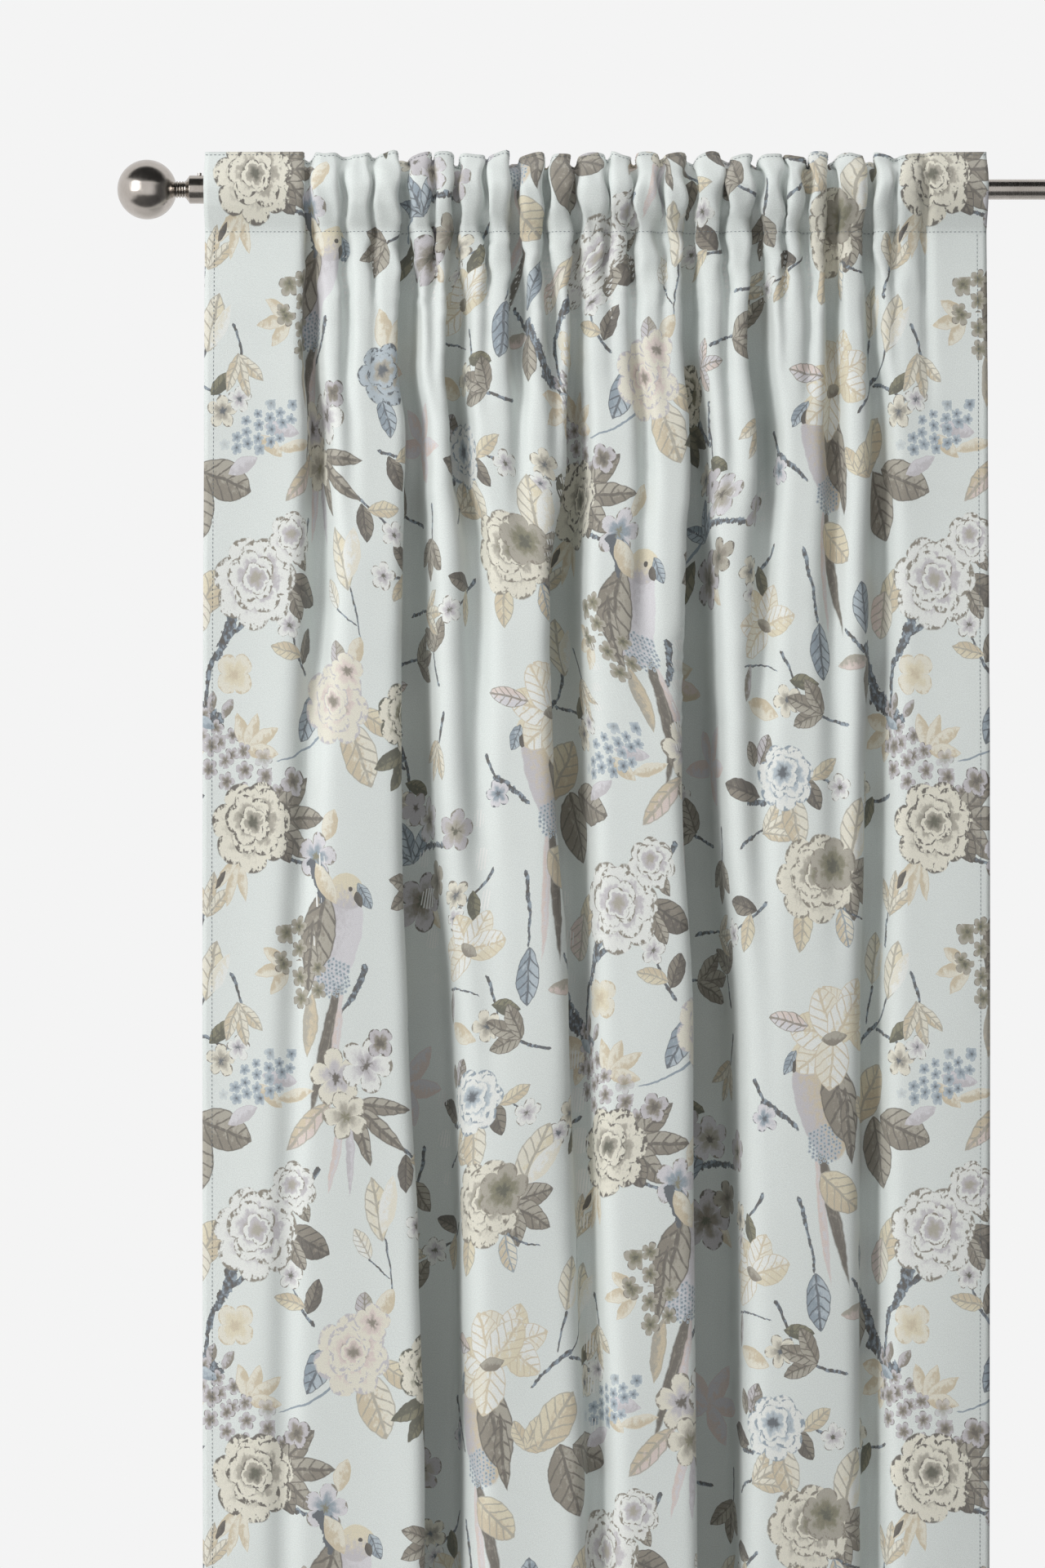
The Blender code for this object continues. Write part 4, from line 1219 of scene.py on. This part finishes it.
def make_hems(cloth):
    """The cloth turned under at its sides and its foot."""
    finish = make_reverse("turned hem")
    behind = CLOTH + 0.0005
    hem_top = FLAT_LENGTH - BOTTOM_HEM
    rows = cloth.down[(cloth.down > TOP_Z - FOLD_LINE_Z + 0.004) & (cloth.down < hem_top - EPS)]
    hems = []
    for side, edge in (("left", 0.0), ("right", FLAT_WIDTH - SIDE_HEM)):
        name = side + "_hem"
        columns = np.linspace(edge, edge + SIDE_HEM, 4)
        hem = make_patch_of_cloth(name, cloth, columns, rows, behind, CLOTH, finish)
        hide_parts(side + "_side_hem")
        cross_fold(hem)
        hems.append(hem)
    rows = cloth.down[cloth.down > hem_top - EPS]
    foot = make_patch_of_cloth("foot_hem", cloth, cloth.across, rows, behind, CLOTH, finish)
    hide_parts("bottom_hem")
    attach(foot, "drop")
    return hems + [foot]


def make_label(cloth):
    """A blank ribbon sewn to the left side hem."""
    finish = Finish("label ribbon", Roughness=0.45)
    flat = finish.flat_place("cloth")
    satin = Value(finish, finish.noise(flat, 700.0).outputs[0])
    finish.colour(finish.ramp(satin, [(0.3, tint(226, 226, 224)), (0.7, tint(244, 244, 242))]))
    weave(finish, flat, 0.00010, 0.0004)
    low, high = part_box("care_label")
    u = np.linspace(low.x, high.x, 9) - LEFT_EDGE
    v = np.linspace(TOP_Z - high.z, TOP_Z - low.z, 13)
    label = make_patch_of_cloth("label_ribbon", cloth, u, v, 0.0024, 0.0004, finish)
    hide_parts("care_label")
    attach(label, "drop")


def make_tape(tape):
    finish = Finish("woven tape", Roughness=0.9, Sheen_Weight=0.15)
    flat = finish.flat_place("cloth")
    across, down, _ = finish.parts(flat)
    cord = (down * (math.tau / 0.0042)).sine().fade(0.75, 0.95)
    rib = (across * (math.tau / 0.0016)).sine() * (down * (math.tau / 0.0011)).sine()
    tones = [(0.0, tint(206, 206, 202)), (1.0, tint(238, 238, 234))]
    shade = finish.ramp(cord * 0.5 + rib * 0.2 + 0.3, tones)
    finish.colour(shade)
    finish.bump(rib * 0.4 + cord, 0.0003)
    u, v = np.meshgrid(tape.across, tape.down[1:])
    points, normals = tape.points[1:], tape.normals[1:]
    front, back = points + normals * TAPE / 2, points - normals * TAPE / 2
    mesh = strip_mesh("heading_band", front, back, {"cloth": np.stack([u, v], axis=-1)}, 0, 0, 0)
    finish.put_on(mesh)
    band = link("heading_band", mesh)
    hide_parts("heading_tape")
    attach(band, "heading")

    for k in range(8):
        u_mid = 0.10 + (FLAT_WIDTH - 0.20) * k / 7
        rise = [0.0, 0.0, 0.0022, 0.0026, 0.0022, 0.0, 0.0]
        drop = np.array([0.0, 0.0025, 0.0045, 0.0075, 0.0105, 0.0125, 0.015]) + LOWER_ROW - 0.024
        u, v = np.meshgrid(np.linspace(u_mid - 0.006, u_mid + 0.006, 7), drop)
        off = -(TAPE / 2 + 0.0006 + np.array(rise))[:, None, None]
        outer = tape.at(u, v) + off * tape.at(u, v, 1.0) - off * tape.at(u, v)
        inner = outer + 0.0008 * (tape.at(u, v, 1.0) - tape.at(u, v))
        mesh = strip_mesh(f"hook_loop_{k + 1}", inner, outer, {"cloth": np.stack([u, v], axis=-1)}, 0, 0, 0)
        finish.put_on(mesh)
        loop = link(f"hook_loop_{k + 1}", mesh)
        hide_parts(f"tape_loop_{k + 1}")
        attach(loop, "heading")


# ---------------------------------------------------------------- stitches


def stitching_tree(material):
    """Geometry nodes: short rounded stitches set end to end along every line of the mesh."""
    tree = bpy.data.node_groups.new("stitching", "GeometryNodeTree")
    tree.interface.new_socket(name="Geometry", in_out="INPUT", socket_type="NodeSocketGeometry")
    sockets = {}
    for name in ("Pitch", "Stitch length", "Thread thickness"):
        sockets[name] = tree.interface.new_socket(name=name, in_out="INPUT", socket_type="NodeSocketFloat")
    tree.interface.new_socket(name="Geometry", in_out="OUTPUT", socket_type="NodeSocketGeometry")
    bench = Bench(tree)
    entry = bench.node("NodeGroupInput").outputs
    line = bench.node("GeometryNodeMeshToCurve", None, {0: entry["Geometry"]})
    resample = bench.node("GeometryNodeResampleCurve", {"mode": "LENGTH"}, {"Curve": line.outputs[0]})
    bench.feed(resample.inputs["Length"], entry["Pitch"])
    bead = bench.node("GeometryNodeMeshIcoSphere", None, {"Radius": 0.5, "Subdivisions": 1})
    tangent = bench.node("GeometryNodeInputTangent")
    facing = bench.node("FunctionNodeAlignRotationToVector", {"axis": "X"}, {"Vector": tangent.outputs[0]})
    size = bench.node("ShaderNodeCombineXYZ", None, {
        0: entry["Stitch length"], 1: entry["Thread thickness"], 2: entry["Thread thickness"]
    })
    set_out = bench.node("GeometryNodeInstanceOnPoints", None, {
        "Points": resample.outputs[0], "Instance": bead.outputs[0], "Rotation": facing.outputs[0],
        "Scale": size.outputs[0],
    })
    real = bench.node("GeometryNodeRealizeInstances", None, {0: set_out.outputs[0]})
    smoothed = bench.node("GeometryNodeSetShadeSmooth", None, {0: real.outputs[0]})
    dressed = bench.node("GeometryNodeSetMaterial", None, {0: smoothed.outputs[0], "Material": material})
    bench.node("NodeGroupOutput", None, {"Geometry": dressed.outputs[0]})
    return tree, {name: socket.identifier for name, socket in sockets.items()}


def make_stitches(name, paths, tree, identifiers):
    """Sews along each path and turns the stitches into a plain mesh."""
    mesh = bpy.data.meshes.new(name)
    points = [tuple(place) for path in paths for place in path]
    starts = np.cumsum([0] + [len(path) for path in paths])
    edges = [(k, k + 1) for a, b in zip(starts, starts[1:]) for k in range(a, b - 1)]
    mesh.from_pydata(points, edges, [])
    guide = link(name + "_line", mesh)
    sewing = guide.modifiers.new("stitching", "NODES")
    sewing.node_group = tree
    sizes = {"Pitch": STITCH_PITCH, "Stitch length": STITCH_LENGTH, "Thread thickness": THREAD}
    for size, value in sizes.items():
        sewing[identifiers[size]] = value
    evaluated = guide.evaluated_get(bpy.context.evaluated_depsgraph_get())
    sewn = bpy.data.meshes.new_from_object(evaluated)
    sewn.name = name
    bpy.data.objects.remove(guide)
    return link(name, sewn)


def make_sewing(cloth):
    finish = Finish("sewing thread", Roughness=0.6, Sheen_Weight=0.2)
    across, down, up = finish.parts(finish.object_place())
    twist = ((across + down + up) * 9000.0).sine()
    finish.colour(finish.ramp(twist * 0.5 + 0.5, [(0.0, tint(92, 102, 110)), (1.0, tint(142, 152, 158))]))
    finish.bump(twist, 0.0001)
    tree, identifiers = stitching_tree(finish.material)
    stand = CLOTH / 2 + THREAD * 0.3
    along = np.linspace(0.002, FLAT_WIDTH - 0.002, 900)
    rows = [cloth.at(along, row, stand) for row in (TOP_ROW, LOWER_ROW)]
    heading = make_stitches("heading_stitches", rows, tree, identifiers)
    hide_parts("top_stitching", "lower_stitching")
    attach(heading, "heading")

    hem_line = FLAT_LENGTH - BOTTOM_HEM + 0.0015
    down = np.linspace(LOWER_ROW + 0.004, hem_line, 700)
    sides = [cloth.at(edge, down, stand) for edge in (SIDE_HEM - 0.0015, FLAT_WIDTH - SIDE_HEM + 0.0015)]
    foot = cloth.at(along, hem_line, stand)
    hem = make_stitches("hem_stitches", sides + [foot], tree, identifiers)
    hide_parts("left_side_stitching", "right_side_stitching", "bottom_stitching")
    cross_fold(hem)
    return [heading, hem]


# ---------------------------------------------------------------- pole


def steel_finish(name, roughness, rings=True):
    """Brushed steel: fine rings where it was turned, or fine lines round a tube."""
    finish = Finish(name, Metallic=1.0)
    place = finish.object_place()
    stretched = finish.vector("MULTIPLY", place, (9000.0, 260.0, 260.0) if rings else (5200.0, 160.0, 160.0))
    brushed = Value(finish, finish.noise(stretched, 1.0, 3.0).outputs[0])
    cloud = Value(finish, finish.noise(place, 40.0, 3.0).outputs[0])
    tones = [(0.3, tint(168, 160, 152)), (0.7, tint(204, 198, 192))]
    finish.colour(finish.ramp(brushed * 0.6 + cloud * 0.4, tones))
    finish.feed(finish.shader.inputs["Roughness"], brushed.fade(0.3, 0.7, roughness - 0.06, roughness + 0.08))
    finish.bump(brushed, 0.00006, 0.7)
    return finish


def rounded(profile, radius, steps=4):
    """Rounds the corners of an outline of (x, radius) points that form a ring."""
    outline = []
    count = len(profile)
    for k, corner in enumerate(profile):
        corner = Vector(corner)
        before, after = Vector(profile[k - 1]), Vector(profile[(k + 1) % count])
        reach = min(radius, (before - corner).length * 0.45, (after - corner).length * 0.45)
        start = corner + (before - corner).normalized() * reach
        end = corner + (after - corner).normalized() * reach
        for step in range(steps + 1):
            share = step / steps
            outline.append(tuple(start.lerp(corner, share).lerp(corner.lerp(end, share), share)))
    return outline


def turned_piece(name, node, body, profile, finish, corner=0.0004, is_ring=True):
    outline = rounded(profile, corner) if is_ring and corner else profile
    mesh = turned_mesh(name, outline, is_ring)
    finish.put_on(mesh)
    piece = link(name, mesh)
    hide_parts(node)
    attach(piece, body)
    return piece


def make_pole():
    tube_steel = steel_finish("brushed tube steel", 0.24, False)
    black = plastic_finish("black bush plastic", tint(34, 34, 36))
    grey = plastic_finish("grey sleeve plastic", tint(120, 120, 120))
    outer_low, outer_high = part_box("outer_tube")
    inner_low, inner_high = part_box("inner_tube")
    wall = 0.001
    for name, (low, high), body in (
        ("pole_outer_tube", (outer_low, outer_high), "pole"),
        ("pole_inner_tube", (inner_low, inner_high), "inner_pole"),
    ):
        ring = [(low.x, high.z - wall), (low.x, high.z), (high.x, high.z), (high.x, high.z - wall)]
        turned_piece(name, name[5:], body, ring, tube_steel, 0.0003)
    low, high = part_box("mouth_bush")
    bore, lip = inner_high.z + 0.0003, outer_high.x + 0.0003
    inside = outer_high.z - wall - 0.0003
    ring = [(low.x, bore), (low.x, inside), (lip, inside), (lip, high.z), (high.x, high.z), (high.x, bore)]
    turned_piece("guide_bush", "mouth_bush", "pole", ring, black, 0.0003)
    low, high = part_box("tail_bush")
    lip = inner_low.x - 0.0003
    ring = [
        (low.x, inner_high.z - wall), (low.x, high.z), (high.x, high.z), (high.x, bore), (lip, bore),
        (lip, inner_high.z - wall),
    ]
    turned_piece("end_bush", "tail_bush", "inner_pole", ring, black, 0.0003)
    low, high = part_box("finial_sleeve")
    ring = [(low.x, bore), (low.x, high.z), (high.x, high.z), (high.x, bore)]
    turned_piece("packing_sleeve", "finial_sleeve", "inner_pole", ring, grey, 0.0003)


def plastic_finish(name, colour):
    finish = Finish(name, Roughness=0.45)
    grain = Value(finish, finish.noise(finish.object_place(), 900.0, 3.0).outputs[0])
    finish.colour(finish.blend(colour, (0.6, 0.6, 0.6, 1), grain.fade(0.3, 0.8, 0.0, 0.06)))
    finish.bump(grain, 0.00008)
    return finish


def make_finial(side, sign):
    """The turned collar, neck and ball at one end of the pole, and their screws."""
    steel = steel_finish(side + " turned steel", 0.17)
    zinc = steel_finish(side + " zinc screw", 0.38)
    body, knob = side + "_finial", side + "_knob"
    collar_low, collar_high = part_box(side + "_collar")
    neck_low, neck_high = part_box(side + "_neck")
    ball_low, ball_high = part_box(side + "_ball")
    stud_low, stud_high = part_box(side + "_stud")
    tube_radius, stud = POLE_RADIUS + 0.0003, stud_high.z + 0.0003

    def ends(low, high):
        """(inner, outer) ends of a piece, measured outward from the pole."""
        return (low.x * sign, high.x * sign) if sign > 0 else (high.x * sign, low.x * sign)

    def outward(outline):
        return [(sign * x, radius) for x, radius in outline]

    start, end = ends(collar_low, collar_high)
    radius, neck = collar_high.z, neck_high.z
    shoulder, floor = end - 0.005, end - 0.007
    collar = [
        (end, stud), (end, neck), (end - 0.0012, neck + 0.0004), (shoulder + 0.0006, radius - 0.0012),
        (shoulder, radius), (start + 0.0042, radius), (start + 0.0038, radius - 0.0005),
        (start + 0.0030, radius - 0.0005), (start + 0.0026, radius), (start, radius), (start, tube_radius),
        (floor, tube_radius), (floor, stud),
    ]
    turned_piece(
        side + "_finial_collar", side + "_collar", body, outward(collar), steel, 0.0005
    )

    start, end = ends(neck_low, neck_high)
    ring = [(start, stud)]
    for k in range(25):
        share = k / 24
        swell = abs(math.sin(math.pi * 3 * share)) ** 0.6
        ring.append((start + (end - start) * share, neck - 0.0016 * (1 - swell)))
    ring.append((end, stud))
    turned_piece(side + "_finial_neck", side + "_neck", body, outward(ring), steel, 0.0)

    start, end = ends(ball_low, ball_high)
    radius = ball_high.z
    centre = end - radius
    seat = math.acos(min(1.0, (centre - start) / radius))
    outside = [
        (centre - radius * math.cos(a), radius * math.sin(a)) for a in np.linspace(seat, math.pi, 60)[:-1]
    ]
    inner = radius - 0.0015
    boss = math.asin(0.006 / inner)
    inside = [(centre - inner * math.cos(a), inner * math.sin(a)) for a in np.linspace(math.pi, boss, 30)[1:]]
    boss_end = start + 0.010
    outline = [(centre + inner, 0.0)] + inside + [(boss_end, 0.006), (boss_end, stud), (start, stud)]
    outline += outside + [(centre + radius, 0.0)]
    turned_piece(
        side + "_finial_ball", side + "_ball", knob, outward(outline), steel,
        corner=0.0, is_ring=False,
    )

    start, end = ends(stud_low, stud_high)
    screw = stud_high.z
    outline = [(start, 0.0), (start, screw - 0.0005)]
    count = 12
    for k in range(count):
        middle = start + 0.0005 + (end - start - 0.001) * (k + 0.5) / count
        half = (end - start - 0.001) / count / 2
        outline += [(middle - half, screw - 0.0005), (middle, screw)]
    outline += [(end, screw - 0.0005), (end, 0.0)]
    turned_piece(
        side + "_joining_stud", side + "_stud", body, outward(outline), zinc,
        corner=0.0, is_ring=False,
    )
    return zinc


def make_grub(side, zinc):
    """The set screw stays as the frame has it, in its own zinc finish."""
    node = bpy.data.objects[side + "_set_screw"]
    for slot in node.material_slots:
        slot.material = zinc.material


make_camera()
make_studio()
cloth, tape = hang(ACROSS, DOWN)
curtain = make_curtain(cloth)
hems = make_hems(cloth)
make_label(cloth)
make_tape(tape)
sewing = make_sewing(cloth)
make_pole()
for side, sign in (("left", -1), ("right", 1)):
    make_grub(side, make_finial(side, sign))
